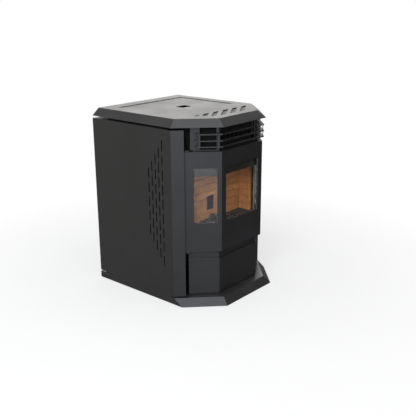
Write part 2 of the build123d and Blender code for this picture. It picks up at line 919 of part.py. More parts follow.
bracket_root_run = facet_half - 18.5
bracket_frame_run = facet_half - 22.5
bracket_plate = 3.0
with BuildPart() as louvre_grille:
    blade_inset = louvre_inset + louvre_reach - louvre_sheet
    for tip_z in louvre_tips_z:
        top_z = tip_z + louvre_lip
        prism(bay_band(louvre_inset, louvre_sheet, louvre_end_run), tip_z, top_z)
        prism(bay_band(louvre_inset, louvre_reach, louvre_end_run), top_z - louvre_sheet, top_z)
        for side in (left, right):
            corner_bracket = [
                bay_corner(blade_inset),
                facet_point(blade_inset, bracket_root_run),
                facet_point(frame_inset, bracket_frame_run),
                bay_corner(frame_inset),
            ]
            prism(sided(corner_bracket, side), tip_z, top_z)
            end_bracket = facet_band(
                louvre_inset,
                frame_inset - louvre_inset,
                louvre_end_run,
                louvre_end_run + bracket_plate,
            )
            prism(sided(end_bracket, side), tip_z, top_z)
    for run in brace_runs:
        brace = facet_band(louvre_inset + louvre_sheet, louvre_sheet, run, run + brace_width)
        for side in (left, right):
            prism(sided(brace, side), louvre_tips_z[-1], louvre_tips_z[0] + louvre_lip)
finish(louvre_grille, "louvre_grille")


# ---------------------------------------------------------------- door
door_inner_inset = frame_inset - door_back_gap
face_back = door_inset + door_face
hinge_point = facet_point(hinge_axis_inset, hinge_axis_run)
hinge_x, hinge_y = -hinge_point[0], hinge_point[1]
rope_outer_run = column_run
rope_inner_run = rope_outer_run + rope_thickness
rope_low_z = door_open_low_z - 17.0
rope_high_z = window_high_z + 28.0
rope_back_inset = 27.0
glass_inset = face_back + glass_gasket
retainer_inset = glass_inset + glass_thickness + joint_gap
retainer_margin = 14.0
retainer_lap = 0.5          # retainers reach this far into the windows
retainer_hole_gap = 0.2
retainer_screw_margin = 9.8
screw_row_zs = [window_low_z - retainer_screw_margin, window_high_z + retainer_screw_margin]
retainer_screw_radius = 1.9
retainer_screw_length = 6.0
retainer_head_radius = 3.4
retainer_head_height = 2.2
boss_radius = 3.6
hinge_lug = 26.0
hinge_lug_depth = 12.4
hinge_lug_end_run = hinge_axis_run + 8.0
handle_boss_radius = 7.4
handle_boss_inset = door_inset + 16.0
handle_boss_length = handle_boss_inset - door_inset - 2.0


def side_normal(side, outward):
    """Direction square to a side facet, out of the stove or into it."""
    return (side * outward / sqrt(2), -outward / sqrt(2), 0)


def facet_spot(side, inset, run, z):
    x, y = facet_point(inset, run)
    return (side * x, y, z)


def retainer_screw_spots(inset):
    """Screw places on the three panes, each with its direction out of the stove."""
    spots = []
    for z in screw_row_zs:
        for x in (-retainer_screw_half_x, retainer_screw_half_x):
            spots.append(((x, rim_front_y + inset, z), (0, -1, 0)))
        for side in (left, right):
            for run in retainer_screw_runs:
                spots.append((facet_spot(side, inset, run, z), side_normal(side, 1)))
    return spots


with BuildPart() as door_frame:
    depth = door_inner_inset - door_inset
    prism(bay_band(door_inset, door_face, door_run), door_low_z, door_high_z)
    for z_low in (door_low_z, door_high_z - door_face):
        prism(bay_band(door_inset, depth, door_flange_run), z_low, z_low + door_face)
    for side in (left, right):
        end = facet_band(door_inset, door_end_depth, door_run, door_run + door_face)
        prism(sided(end, side), door_low_z, door_high_z)
    prism(
        bay_band(face_back, rope_back_inset - face_back, rope_outer_run), rope_low_z, rope_high_z
    )
    prism(
        bay_band(face_back, rope_back_inset - face_back, rope_inner_run),
        rope_low_z + rope_thickness,
        rope_high_z - rope_thickness,
        Mode.SUBTRACT,
    )
    with BuildSketch(Plane.XZ.offset(-rim_front_y)) as front_window:
        with Locations((0, (window_low_z + window_high_z) / 2)):
            RectangleRounded(
                2 * front_window_half, window_high_z - window_low_z, window_corner_radius
            )
    extrude(front_window.sketch, amount=-face_back - past, mode=Mode.SUBTRACT)
    for side in (left, right):
        opening = facet_band(
            door_inset - past, door_face + 2 * past, side_window_outer_run, side_window_inner_run
        )
        prism(sided(opening, side), window_low_z, window_high_z, Mode.SUBTRACT)
    lug = mirrored(facet_band(face_back, hinge_lug_depth, door_run, hinge_lug_end_run))
    for z_low in (door_low_z, door_high_z - hinge_lug):
        prism(lug, z_low, z_low + hinge_lug)
        rod(
            (hinge_x, hinge_y, z_low - past),
            (0, 0, 1),
            hinge_pin_radius + pin_clearance,
            hinge_lug + 2 * past,
            Mode.SUBTRACT,
        )
    boss_start = facet_spot(right, handle_boss_inset, handle_axis_run, handle_axis_z)
    rod(boss_start, side_normal(right, 1), handle_boss_radius, handle_boss_length)
    bore_start = facet_spot(
        right, door_inset + door_end_depth + past, handle_axis_run, handle_axis_z
    )
    rod(
        bore_start,
        side_normal(right, 1),
        handle_shaft_radius + pin_clearance,
        door_end_depth + 2 * past,
        Mode.SUBTRACT,
    )
    boss_length = retainer_inset - face_back
    for spot, direction in retainer_screw_spots(retainer_inset):
        rod(spot, direction, boss_radius, boss_length + door_face / 2)
        rod(spot, direction, retainer_screw_radius, boss_length, Mode.SUBTRACT)
finish(door_frame, "door_frame")


def pane(inset, wall, grow_by, z_grow, mode=Mode.ADD, sides=(left, right), front_pane=True):
    """Flat pieces behind the windows, larger than the windows all round."""
    z_low = window_low_z - z_grow
    z_high = window_high_z + z_grow
    if front_pane:
        half = front_window_half + grow_by
        y = rim_front_y + inset
        block(-half, half, y, y + wall, z_low, z_high, mode)
    for side in sides:
        outline = facet_band(
            inset, wall, side_window_outer_run - grow_by, side_window_inner_run + grow_by
        )
        prism(sided(outline, side), z_low, z_high, mode)


with BuildPart() as front_glass:
    pane(glass_inset, glass_thickness, glass_overlap, glass_overlap, sides=())
finish(front_glass, "front_glass")

with BuildPart() as side_glasses:
    pane(glass_inset, glass_thickness, glass_overlap, glass_overlap, front_pane=False)
finish(side_glasses, "side_glasses")

with BuildPart() as glass_gaskets:
    pane(face_back, glass_gasket, glass_overlap, glass_overlap)
    pane(
        face_back - past,
        glass_gasket + 2 * past,
        glass_gasket_set_back,
        glass_gasket_set_back,
        Mode.SUBTRACT,
    )
finish(glass_gaskets, "glass_gaskets")

with BuildPart() as glass_retainers:
    pane(retainer_inset, retainer_sheet, glass_overlap, retainer_margin)
    pane(
        retainer_inset - past,
        retainer_sheet + 2 * past,
        -retainer_lap,
        -retainer_lap,
        Mode.SUBTRACT,
    )
    for spot, direction in retainer_screw_spots(retainer_inset + retainer_sheet + past):
        rod(
            spot,
            direction,
            retainer_screw_radius + retainer_hole_gap,
            retainer_sheet + 2 * past,
            Mode.SUBTRACT,
        )
finish(glass_retainers, "glass_retainers")

with BuildPart() as retainer_screws:
    head_inset = retainer_inset + retainer_sheet
    for spot, direction in retainer_screw_spots(head_inset):
        inward = tuple(-part for part in direction)
        rod(spot, direction, retainer_screw_radius - pin_clearance, retainer_screw_length)
        rod(spot, inward, retainer_head_radius, retainer_head_height)
finish(retainer_screws, "retainer_screws")

with BuildPart() as door_gasket:
    rope_depth = frame_inset - joint_gap - rope_back_inset
    prism(bay_band(rope_back_inset, rope_depth, rope_outer_run), rope_low_z, rope_high_z)
    prism(
        bay_band(rope_back_inset - past, rope_depth + 2 * past, rope_inner_run),
        rope_low_z + rope_thickness,
        rope_high_z - rope_thickness,
        Mode.SUBTRACT,
    )
finish(door_gasket, "door_gasket")

washer = 1.6
washer_radius = 7.0
ear_half = 8.0
ear_root = 12.0
with BuildPart() as door_hinge_brackets:
    ear = mirrored(
        [
            facet_point(hinge_axis_inset - ear_half, hinge_axis_run - ear_half),
            facet_point(hinge_axis_inset - ear_half, hinge_axis_run + ear_half),
            facet_point(frame_inset, column_run + ear_root),
            facet_point(frame_inset, column_run),
            facet_point(hinge_axis_inset + ear_half, hinge_axis_run - ear_half),
        ]
    )
    upper_ear_z = door_high_z + washer
    lower_ear_z = door_low_z - washer - hinge_ear
    prism(ear, upper_ear_z, upper_ear_z + hinge_ear)
    prism(ear, lower_ear_z, lower_ear_z + hinge_ear)
    pin_length = hinge_pin_depth + washer + hinge_ear
    for z_low in (lower_ear_z, door_high_z - hinge_pin_depth):
        rod((hinge_x, hinge_y, z_low), (0, 0, 1), hinge_pin_radius, pin_length)
    washer_spot = (hinge_x, hinge_y, lower_ear_z + hinge_ear)
    rod(washer_spot, (0, 0, 1), washer_radius, washer - joint_gap)
finish(door_hinge_brackets, "door_hinge_brackets")

grip_length = 96.0
grip_radius = 6.0
grip_end_radius = 3.0
grip_stand_off = 12.0       # grip's axis out from the door's face
grip_above_shaft = 2.0
hub_radius = 7.0
cam_depth = 21.0            # cam's back, measured in from the door's face
cam_width = 10.0
cam_eye_radius = 6.0
cam_reach = 17.0
cam_plate = 3.0
cam_shaft_end = 0.4
latch_turn = 60.0
with BuildPart() as door_handle:
    shaft_inset = door_inset + cam_depth + cam_shaft_end
    shaft_start = facet_spot(right, shaft_inset, handle_axis_run, handle_axis_z)
    shaft_length = cam_depth + cam_shaft_end + grip_stand_off
    rod(shaft_start, side_normal(right, 1), handle_shaft_radius, shaft_length)
    hub_start = facet_spot(right, door_inset - joint_gap, handle_axis_run, handle_axis_z)
    rod(hub_start, side_normal(right, 1), hub_radius, grip_stand_off - joint_gap)
    grip_start = facet_spot(
        right, door_inset - grip_stand_off, handle_axis_run, handle_axis_z + grip_above_shaft
    )
    rod(grip_start, (0, 0, -1), grip_radius, grip_length)
    grip_end = door_handle.edges().filter_by(GeomType.CIRCLE).group_by(Axis.Z)[0]
    fillet(grip_end, grip_end_radius)
finish(door_handle, "door_handle")

with BuildPart() as latch_cam:
    cam_inset = door_inset + cam_depth
    cam_start = facet_spot(right, cam_inset, handle_axis_run, handle_axis_z)
    towards_jamb = (1 / sqrt(2), 1 / sqrt(2), 0)
    cam_plane = Plane(origin=cam_start, x_dir=towards_jamb, z_dir=side_normal(right, 1))
    with BuildSketch(cam_plane) as cam_outline:
        Circle(cam_eye_radius)
        with PolarLocations(cam_reach / 2, 1, start_angle=latch_turn):
            Rectangle(cam_reach, cam_width)
        Circle(handle_shaft_radius, mode=Mode.SUBTRACT)
    extrude(cam_outline.sketch, amount=cam_plate)
finish(latch_cam, "latch_cam")


# ---------------------------------------------------------------- firebox
def firebox_outline(half, wall_rear, inset):
    corner = bay_corner(inset)
    side_front = (half, half - facet_reach(inset))
    points = [(half, wall_rear), side_front, corner]
    return points + mirrored(reversed(points))


shell_inset = frame_inset + frame_plate
igniter_z = firebox_floor_z + 18.0
igniter_hole_radius = igniter_radius + 1.5
smoke_low_x = 45.0
smoke_high_x = 105.0
smoke_low_z = firebox_floor_z + 21.0
smoke_high_z = smoke_low_z + 60.0
smoke_slot = 12.0           # depth of the gap behind the rear brick that leads to the smoke hole
chute_half = 30.0
chute_sheet = 2.0
ash_drop_low_x = plenum_half_width + 4.0
ash_drop_high_x = ash_drop_low_x + 22.0
ash_drop_front_y = pot_front_y - 8.0
ash_drop_rear_y = pot_rear_y - 12.0

with BuildPart() as firebox_shell:
    shell_low_z = firebox_floor_z - frame_plate
    prism(
        firebox_outline(firebox_half_width, firebox_rear_y, shell_inset),
        shell_low_z,
        firebox_top_z,
    )
    prism(
        firebox_outline(
            firebox_half_width - frame_plate,
            firebox_rear_y - frame_plate,
            shell_inset - frame_plate,
        ),
        firebox_floor_z,
        firebox_top_z - frame_plate,
        Mode.SUBTRACT,
    )
    wall_cut_y = firebox_rear_y - frame_plate - past
    wall_cut_end_y = firebox_rear_y + past
    block(
        -chute_half,
        chute_half,
        wall_cut_y,
        wall_cut_end_y,
        chute_opening_low_z,
        chute_opening_high_z,
        Mode.SUBTRACT,
    )
    block(
        smoke_low_x,
        smoke_high_x,
        wall_cut_y,
        wall_cut_end_y,
        smoke_low_z,
        smoke_high_z,
        Mode.SUBTRACT,
    )
    rod(
        (0, wall_cut_y, igniter_z),
        (0, 1, 0),
        igniter_hole_radius,
        wall_cut_end_y - wall_cut_y,
        Mode.SUBTRACT,
    )
    floor_cut_z = shell_low_z - past
    floor_cut_end_z = firebox_floor_z + past
    pot_hole = grown(rectangle(-pot_half_width, pot_half_width, pot_front_y, pot_rear_y), pot_neck_gap)
    prism(pot_hole, floor_cut_z, floor_cut_end_z, Mode.SUBTRACT)
    for side in (left, right):
        ash_drop = rectangle(ash_drop_low_x, ash_drop_high_x, ash_drop_front_y, ash_drop_rear_y)
        prism(sided(ash_drop, side), floor_cut_z, floor_cut_end_z, Mode.SUBTRACT)
    block(
        -roof_opening_half,
        roof_opening_half,
        roof_opening_front_y,
        roof_opening_rear_y,
        firebox_top_z - frame_plate - past,
        firebox_top_z + past,
        Mode.SUBTRACT,
    )
finish(firebox_shell, "firebox_shell")

brick_inner_x = firebox_half_width - frame_plate
brick_back_y = firebox_rear_y - frame_plate
rear_face_y = brick_back_y - rear_brick
side_face_x = brick_inner_x - side_brick
side_brick_front_y = brick_inner_x - facet_reach(shell_inset) + side_brick_gap
brick_rows = ceil((brick_top_z - firebox_floor_z) / brick_row)
bricks_each_way = ceil(side_face_x / brick_length)


def course_z(row):
    return firebox_floor_z + row * brick_row


with BuildPart() as rear_brick_panel:
    block(-brick_inner_x, brick_inner_x, rear_face_y, brick_back_y, firebox_floor_z, brick_top_z)
    opening_half = chute_opening_width / 2
    block(
        -opening_half,
        opening_half,
        rear_face_y - past,
        brick_back_y + past,
        chute_opening_low_z,
        chute_opening_high_z,
        Mode.SUBTRACT,
    )
    block(
        smoke_low_x,
        smoke_high_x,
        brick_back_y - smoke_slot,
        brick_back_y + past,
        smoke_low_z,
        brick_top_z + past,
        Mode.SUBTRACT,
    )
    rod(
        (0, rear_face_y - past, igniter_z),
        (0, 1, 0),
        igniter_hole_radius,
        rear_brick + 2 * past,
        Mode.SUBTRACT,
    )
    groove_low_y = rear_face_y - past
    groove_high_y = rear_face_y + mortar_depth
    half_joint = mortar_width / 2
    for row in range(brick_rows):
        z = course_z(row)
        if row:
            block(
                -side_face_x,
                side_face_x,
                groove_low_y,
                groove_high_y,
                z - half_joint,
                z + half_joint,
                Mode.SUBTRACT,
            )
        shift = brick_length / 2 * (row % 2)
        z_high = min(z + brick_row, brick_top_z)
        for step in range(-bricks_each_way, bricks_each_way + 1):
            x = step * brick_length + shift
            if abs(x) < side_face_x - mortar_width:
                block(
                    x - half_joint,
                    x + half_joint,
                    groove_low_y,
                    groove_high_y,
                    z,
                    z_high,
                    Mode.SUBTRACT,
                )
finish(rear_brick_panel, "rear_brick_panel")

with BuildPart() as side_brick_panels:
    for side in (left, right):
        outline = rectangle(side_face_x, brick_inner_x, side_brick_front_y, rear_face_y)
        prism(sided(outline, side), firebox_floor_z, brick_top_z)
        for row in range(brick_rows):
            z = course_z(row)
            groove = rectangle(
                side_face_x - past,
                side_face_x + mortar_depth,
                side_brick_front_y - past,
                rear_face_y + past,
            )
            if row:
                z_low = z - mortar_width / 2
                prism(sided(groove, side), z_low, z_low + mortar_width, Mode.SUBTRACT)
            y = rear_face_y - brick_length / 4 * (1 + 2 * (row % 2))
            upright = rectangle(
                side_face_x - past, side_face_x + mortar_depth, y - half_joint, y + half_joint
            )
            z_high = min(z + brick_row, brick_top_z)
            prism(sided(upright, side), z, z_high, Mode.SUBTRACT)
finish(side_brick_panels, "side_brick_panels")

tube_sheet_y = firebox_rear_y
exchanger_front_y = rim_front_y + exchanger_inset
tube_span = 2 * (bay_corner(exchanger_inset)[0] - tube_margin)
tube_count = int(tube_span / tube_pitch) + 1
tube_xs = [(index - (tube_count - 1) / 2) * tube_pitch for index in range(tube_count)]
tube_start_y = exchanger_front_y - tube_end
tube_length = tube_sheet_y + exchanger_plate + tube_end - tube_start_y

with BuildPart() as heat_exchanger:
    outline = firebox_outline(exchanger_half_width, exchanger_rear_y, exchanger_inset)
    hollow = firebox_outline(
        exchanger_half_width - exchanger_plate,
        exchanger_rear_y - exchanger_plate,
        exchanger_inset + exchanger_plate,
    )
    prism(outline, firebox_top_z, exchanger_high_z)
    prism(
        hollow, firebox_top_z + exchanger_plate, exchanger_high_z - exchanger_plate, Mode.SUBTRACT
    )
    block(
        -exchanger_half_width,
        exchanger_half_width,
        tube_sheet_y,
        tube_sheet_y + exchanger_plate,
        firebox_top_z,
        exchanger_high_z,
    )
    for x in tube_xs:
        rod(
            (x, tube_start_y, tube_z),
            (0, 1, 0),
            tube_radius + joint_gap,
            tube_length,
            Mode.SUBTRACT,
        )
    exchanger_cut_z = firebox_top_z - past
    exchanger_cut_end_z = firebox_top_z + exchanger_plate + past
    block(
        -roof_opening_half,
        roof_opening_half,
        roof_opening_front_y,
        roof_opening_rear_y,
        exchanger_cut_z,
        exchanger_cut_end_z,
        Mode.SUBTRACT,
    )
    block(
        duct_low_x + sheet,
        duct_high_x - sheet,
        tube_sheet_y + exchanger_plate + sheet,
        exchanger_rear_y - exchanger_plate - sheet,
        exchanger_cut_z,
        exchanger_cut_end_z,
        Mode.SUBTRACT,
    )
finish(heat_exchanger, "heat_exchanger")

with BuildPart() as exchanger_tubes:
    for x in tube_xs:
        rod((x, tube_start_y, tube_z), (0, 1, 0), tube_radius, tube_length)
    for x in tube_xs:
        rod(
            (x, tube_start_y - past, tube_z),
            (0, 1, 0),
            tube_radius - tube_wall,
            tube_length + 2 * past,
            Mode.SUBTRACT,
        )
finish(exchanger_tubes, "exchanger_tubes")


# ---------------------------------------------------------------- burn pot
holder_sheet = 2.0
holder_flange = 8.0
holder_seat = 3.0
pot_seat_z = firebox_floor_z + holder_seat
pot_outer = rectangle(-pot_half_width, pot_half_width, pot_front_y, pot_rear_y)
neck_outer = grown(pot_outer, pot_neck_gap)
neck_inner = grown(neck_outer, -holder_sheet)
neck_front, neck_rear = neck_outer[0][1], neck_outer[2][1]
with BuildPart() as burn_pot_holder:
    plenum = rectangle(-plenum_half_width, plenum_half_width, neck_front, neck_rear)
    prism(grown(neck_outer, holder_flange), firebox_floor_z, pot_seat_z)
    prism(neck_outer, plenum_high_z - holder_sheet, firebox_floor_z)
    prism(plenum, plenum_low_z, plenum_high_z)
    prism(
        grown(plenum, -holder_sheet),
        plenum_low_z + holder_sheet,
        plenum_high_z - holder_sheet,
        Mode.SUBTRACT,
    )
    prism(neck_inner, plenum_high_z - holder_sheet - past, pot_seat_z + past, Mode.SUBTRACT)
    rod(
        (intake_x, neck_rear - holder_sheet - past, intake_z),
        (0, 1, 0),
        intake_radius + joint_gap,
        holder_sheet + 2 * past,
        Mode.SUBTRACT,
    )
finish(burn_pot_holder, "burn_pot_holder")

pot_rim_z = pot_seat_z + joint_gap
pot_low_z = pot_rim_z - pot_drop
pot_top_z = pot_low_z + pot_height
air_hole_radius = 2.5
floor_hole_counts = (6, 3)
floor_hole_pitches = (15.0, 14.0)
wall_hole_counts = (5, 2)
wall_hole_pitches = (18.0, 12.0)
wall_hole_z = pot_low_z + 19.0
igniter_boss_wall = 3.0
igniter_boss_half = igniter_hole_radius + igniter_boss_wall
with BuildPart() as burn_pot:
    taper(grown(pot_outer, -pot_taper), pot_low_z, pot_outer, pot_top_z)
    prism(grown(pot_outer, pot_rim), pot_rim_z, pot_rim_z + pot_rim_plate)
    taper(
        grown(pot_outer, -pot_taper - pot_wall),
        pot_low_z + pot_wall,
        grown(pot_outer, -pot_wall),
        pot_top_z,
        Mode.SUBTRACT,
    )
    block(
        -igniter_boss_half,
        igniter_boss_half,
        pot_rear_y - pot_wall,
        pot_rear_y + pot_rim,
        pot_rim_z,
        igniter_z + igniter_boss_half,
    )
    with BuildSketch(Plane.XY.offset(pot_low_z - past)) as air_holes:
        with Locations((0, (pot_front_y + pot_rear_y) / 2)):
            with GridLocations(*floor_hole_pitches, *floor_hole_counts):
                Circle(air_hole_radius)
    extrude(air_holes.sketch, amount=pot_wall + 2 * past, mode=Mode.SUBTRACT)
    with BuildSketch(Plane.XZ.offset(past - pot_front_y)) as wall_holes:
        with Locations((0, wall_hole_z)):
            with GridLocations(*wall_hole_pitches, *wall_hole_counts):
                Circle(air_hole_radius)
    extrude(wall_holes.sketch, amount=-pot_taper - pot_wall - past, mode=Mode.SUBTRACT)
    igniter_port_y = pot_rear_y - pot_taper - pot_wall - past
    rod(
        (0, igniter_port_y, igniter_z),
        (0, 1, 0),
        igniter_hole_radius,
        pot_rear_y + pot_rim + past - igniter_port_y,
        Mode.SUBTRACT,
    )
finish(burn_pot, "burn_pot")

igniter_body = 22.0         # length behind its flange
igniter_flange_radius = 9.5
igniter_flange = 3.0
igniter_lead_radius = 1.5
igniter_lead = 10.0
with BuildPart() as igniter:
    igniter_end_y = pot_rear_y + pot_rim + igniter_gap
    igniter_back_y = firebox_rear_y + igniter_body
    rod((0, igniter_end_y, igniter_z), (0, 1, 0), igniter_radius, igniter_back_y - igniter_end_y)
    rod((0, firebox_rear_y, igniter_z), (0, 1, 0), igniter_flange_radius, igniter_flange)
    rod((0, igniter_back_y, igniter_z), (0, 1, 0), igniter_lead_radius, igniter_lead)
finish(igniter, "igniter")


# ---------------------------------------------------------------- pellet feed
chute_back_y = auger_end_y + 24.8
chute_top_z = auger_end_z + 26.2
chute_foot_z = auger_end_z - 63.8
chute_top_y = firebox_rear_y + 16.0
chute_front_y = firebox_rear_y + chute_sheet
liner_sheet = 1.5
liner_half = opening_half - joint_gap
liner_low_z = chute_opening_low_z + joint_gap
liner_high_z = chute_opening_high_z - joint_gap
feed_hole_half = 20.0
feed_hole_margin = 3.0
feed_hole_height = 20.0
with BuildPart() as drop_chute:
    outer = [
        (firebox_rear_y, chute_opening_low_z - chute_sheet),
        (firebox_rear_y, chute_opening_high_z + chute_sheet),
        (chute_top_y, chute_top_z),
        (chute_back_y, chute_top_z),
        (chute_back_y, chute_foot_z),
    ]
    inner = [
        (chute_front_y, chute_opening_low_z + chute_sheet),
        (chute_front_y, chute_opening_high_z),
        (chute_top_y + chute_sheet, chute_top_z - chute_sheet),
        (chute_back_y - chute_sheet, chute_top_z - chute_sheet),
        (chute_back_y - chute_sheet, chute_foot_z + chute_sheet),
    ]
    side_prism(outer, -chute_half - chute_sheet, chute_half + chute_sheet)
    side_prism(inner, -chute_half, chute_half, Mode.SUBTRACT)
    auger_rod(0, auger_tube_radius + joint_gap, auger_length + past, Mode.SUBTRACT)
    block(-liner_half, liner_half, rear_face_y, chute_front_y, liner_low_z, liner_high_z)
    block(
        liner_sheet - liner_half,
        liner_half - liner_sheet,
        rear_face_y - past,
        chute_front_y + past,
        liner_low_z + liner_sheet,
        liner_high_z - liner_sheet,
        Mode.SUBTRACT,
    )
finish(drop_chute, "drop_chute")

tube_inner = auger_tube_radius - auger_tube_wall
end_plate = 4.0
with BuildPart() as auger_tube:
    auger_rod(0, auger_tube_radius, auger_length)
    auger_rod(-past, tube_inner, auger_length + 2 * past, Mode.SUBTRACT)
    auger_square(-end_plate, gearbox_size, end_plate)
    auger_rod(
        -end_plate - past, auger_shaft_radius + pin_clearance, end_plate + 2 * past, Mode.SUBTRACT
    )
    feed_front_y = neck_front_y + feed_hole_margin
    feed_rear_y = neck_rear_y - feed_hole_margin
    feed_hole = [
        (feed_front_y, auger_z(feed_front_y)),
        (feed_rear_y, auger_z(feed_rear_y)),
        (feed_rear_y, neck_top_z + feed_hole_height),
        (feed_front_y, neck_top_z + feed_hole_height),
    ]
    side_prism(feed_hole, -feed_hole_half, feed_hole_half, Mode.SUBTRACT)
finish(auger_tube, "auger_tube")

shaft_tail = 22.0
flight_wall = 3.0
flight_start = 10.0
flight_end_gap = 20.0
flight_root = 1.0           # how far the flight sinks into the shaft
with BuildPart() as auger_screw:
    flight_width = auger_flight_radius - auger_shaft_radius + flight_root
    flight_middle = auger_flight_radius - flight_width / 2
    flight_center = auger_plane.offset(flight_start).origin
    with BuildLine() as flight_path:
        Helix(
            pitch=auger_pitch,
            height=auger_length - flight_start - flight_end_gap,
            radius=flight_middle,
            center=flight_center,
            direction=auger_plane.z_dir,
        )
    flight_begin = flight_path.line @ 0
    flight_plane = Plane(
        origin=flight_begin, x_dir=flight_begin - flight_center, z_dir=flight_path.line % 0
    )
    with BuildSketch(flight_plane) as flight_section:
        Rectangle(flight_width, flight_wall)
    sweep(flight_section.sketch, path=flight_path.line, is_frenet=True)
    auger_rod(-end_plate - shaft_tail + joint_gap, auger_shaft_radius, auger_length + shaft_tail)
finish(auger_screw, "auger_screw")

motor_can_radius = 27.0
motor_can_length = 52.0
motor_cap_radius = 10.0
motor_cap_length = 5.0
gearbox_fillet = 3.0
with BuildPart() as auger_motor:
    gearbox_low = -end_plate - gearbox_length
    can_low = gearbox_low - motor_can_length
    auger_square(gearbox_low, gearbox_size, gearbox_length)
    fillet(auger_motor.edges(), gearbox_fillet)
    auger_rod(can_low, motor_can_radius, motor_can_length)
    auger_rod(can_low - motor_cap_length, motor_cap_radius, motor_cap_length)
    auger_rod(
        -end_plate - shaft_tail,
        auger_shaft_radius + pin_clearance,
        shaft_tail + past,
        Mode.SUBTRACT,
    )
finish(auger_motor, "auger_motor")


# ---------------------------------------------------------------- ash drawer
runner_width = 30.0
guide_wall = 1.7
guide_height = 30.0
runner_gap = 3.0            # runners start this far behind the front frame
with BuildPart() as ash_drawer_front:
    prism(
        bay_band(lower_panel_inset, frame_plate, lower_panel_run),
        lower_panel_low_z,
        lower_panel_high_z,
    )
finish(ash_drawer_front, "ash_drawer_front")

panel_back_y = rim_front_y + lower_panel_inset + frame_plate
pan_rear_y = panel_back_y + pan_length
with BuildPart() as ash_pan:
    block(-pan_half_width, pan_half_width, panel_back_y, pan_rear_y, pan_low_z, pan_high_z)
    block(
        sheet - pan_half_width,
        pan_half_width - sheet,
        panel_back_y + sheet,
        pan_rear_y - sheet,
        pan_low_z + sheet,
        pan_high_z + past,
        Mode.SUBTRACT,
    )
finish(ash_pan, "ash_pan")

with BuildPart() as drawer_runners:
    runner_front_y = frame_front_y + frame_plate + runner_gap
    guide_x = pan_half_width + joint_gap
    runner_x = guide_x + guide_wall
    for side in (left, right):
        rail = rectangle(runner_x - runner_width, runner_x, runner_front_y, pan_rear_y)
        prism(sided(rail, side), plinth_height, pan_low_z - joint_gap)
        guide = rectangle(guide_x, runner_x, runner_front_y, pan_rear_y)
        prism(sided(guide, side), plinth_height, pan_low_z + guide_height)
finish(drawer_runners, "drawer_runners")


# ---------------------------------------------------------------- exhaust
blower_sheet = 2.0
channel_depth = 56.0
channel_low_x = smoke_low_x - 5.0
channel_high_x = smoke_high_x + 5.0
channel_low_z = flue_z + 22.0
channel_high_z = smoke_high_z + 5.0
channel_foot_low_z = channel_low_z - 20.0
channel_foot_high_z = channel_low_z + 46.0
channel_foot_end_y = exhaust_y + 35.0
channel_overlap = 5.0
eye_z = exhaust_z + 8.0
with BuildPart() as exhaust_channel:
    channel_rear_y = firebox_rear_y + channel_depth
    drop = (channel_low_x, channel_high_x, firebox_rear_y, channel_rear_y)
    foot = (channel_low_x, exhaust_low_x, channel_rear_y - past, channel_foot_end_y)
    block(*drop, channel_low_z, channel_high_z)
    block(*foot, channel_foot_low_z, channel_foot_high_z)
    prism(
        grown(rectangle(*drop), -blower_sheet),
        channel_low_z + blower_sheet,
        channel_high_z - blower_sheet,
        Mode.SUBTRACT,
    )
    block(
        channel_low_x + blower_sheet,
        exhaust_low_x - blower_sheet,
        channel_rear_y - channel_overlap,
        channel_foot_end_y - blower_sheet,
        channel_low_z + blower_sheet,
        channel_foot_high_z - blower_sheet,
        Mode.SUBTRACT,
    )
    block(
        smoke_low_x,
        smoke_high_x,
        firebox_rear_y - past,
        firebox_rear_y + blower_sheet + past,
        smoke_low_z,
        smoke_high_z,
        Mode.SUBTRACT,
    )
    rod(
        (exhaust_low_x - blower_sheet - past, exhaust_y, eye_z),
        (1, 0, 0),
        blower_eye_radius,
        blower_sheet + 2 * past,
        Mode.SUBTRACT,
    )
finish(exhaust_channel, "exhaust_channel")


def pedestal(x_low, x_high, y_low, y_high, top_z, cut_z):
    """Folded stand from the plinth up into a blower's drum, hollow below it."""
    block(x_low, x_high, y_low, y_high, plinth_height, top_z)
    block(
        x_low + blower_sheet,
        x_high - blower_sheet,
        y_low - past,
        y_high + past,
        plinth_height - past,
        cut_z,
        Mode.SUBTRACT,
    )


def shaft_hole(x, y, z, wall):
    """Hole for a fan's shaft in the wall whose outer face is at x."""
    rod(
        (x - wall - past, y, z),
        (1, 0, 0),
        shaft_radius + pin_clearance,
        wall + 2 * past,
        Mode.SUBTRACT,
    )


exhaust_stand_half = 20.0
exhaust_stand_front_y = exhaust_y - 25.0
exhaust_stand_rear_y = exhaust_y + 45.0
stand_lap = 20.0            # how far a stand reaches up past the bottom of its drum
with BuildPart() as exhaust_housing:
    low_z = exhaust_z - exhaust_radius
    neck_high_z = low_z + 2 * (flue_radius + blower_sheet)
    drum_length = exhaust_high_x - exhaust_low_x
    rod((exhaust_low_x, exhaust_y, exhaust_z), (1, 0, 0), exhaust_radius, drum_length)
    block(exhaust_low_x, exhaust_high_x, exhaust_y, exhaust_neck_end_y, low_z, neck_high_z)
    pedestal(
        flue_x - exhaust_stand_half,
        flue_x + exhaust_stand_half,
        exhaust_stand_front_y,
        exhaust_stand_rear_y,
        low_z + stand_lap,
        low_z - past,
    )
    rod(
        (exhaust_low_x + blower_sheet, exhaust_y, exhaust_z),
        (1, 0, 0),
        exhaust_radius - blower_sheet,
        drum_length - 2 * blower_sheet,
        Mode.SUBTRACT,
    )
    block(
        exhaust_low_x + blower_sheet,
        exhaust_high_x - blower_sheet,
        exhaust_y,
        exhaust_neck_end_y - blower_sheet,
        low_z + blower_sheet,
        neck_high_z - blower_sheet,
        Mode.SUBTRACT,
    )
    rod(
        (flue_x, exhaust_neck_end_y - blower_sheet - past, flue_z),
        (0, 1, 0),
        flue_radius - pipe_wall,
        blower_sheet + 2 * past,
        Mode.SUBTRACT,
    )
    rod(
        (exhaust_low_x - past, exhaust_y, eye_z),
        (1, 0, 0),
        blower_eye_radius,
        blower_sheet + 2 * past,
        Mode.SUBTRACT,
    )
    shaft_hole(exhaust_high_x, exhaust_y, exhaust_z, blower_sheet)
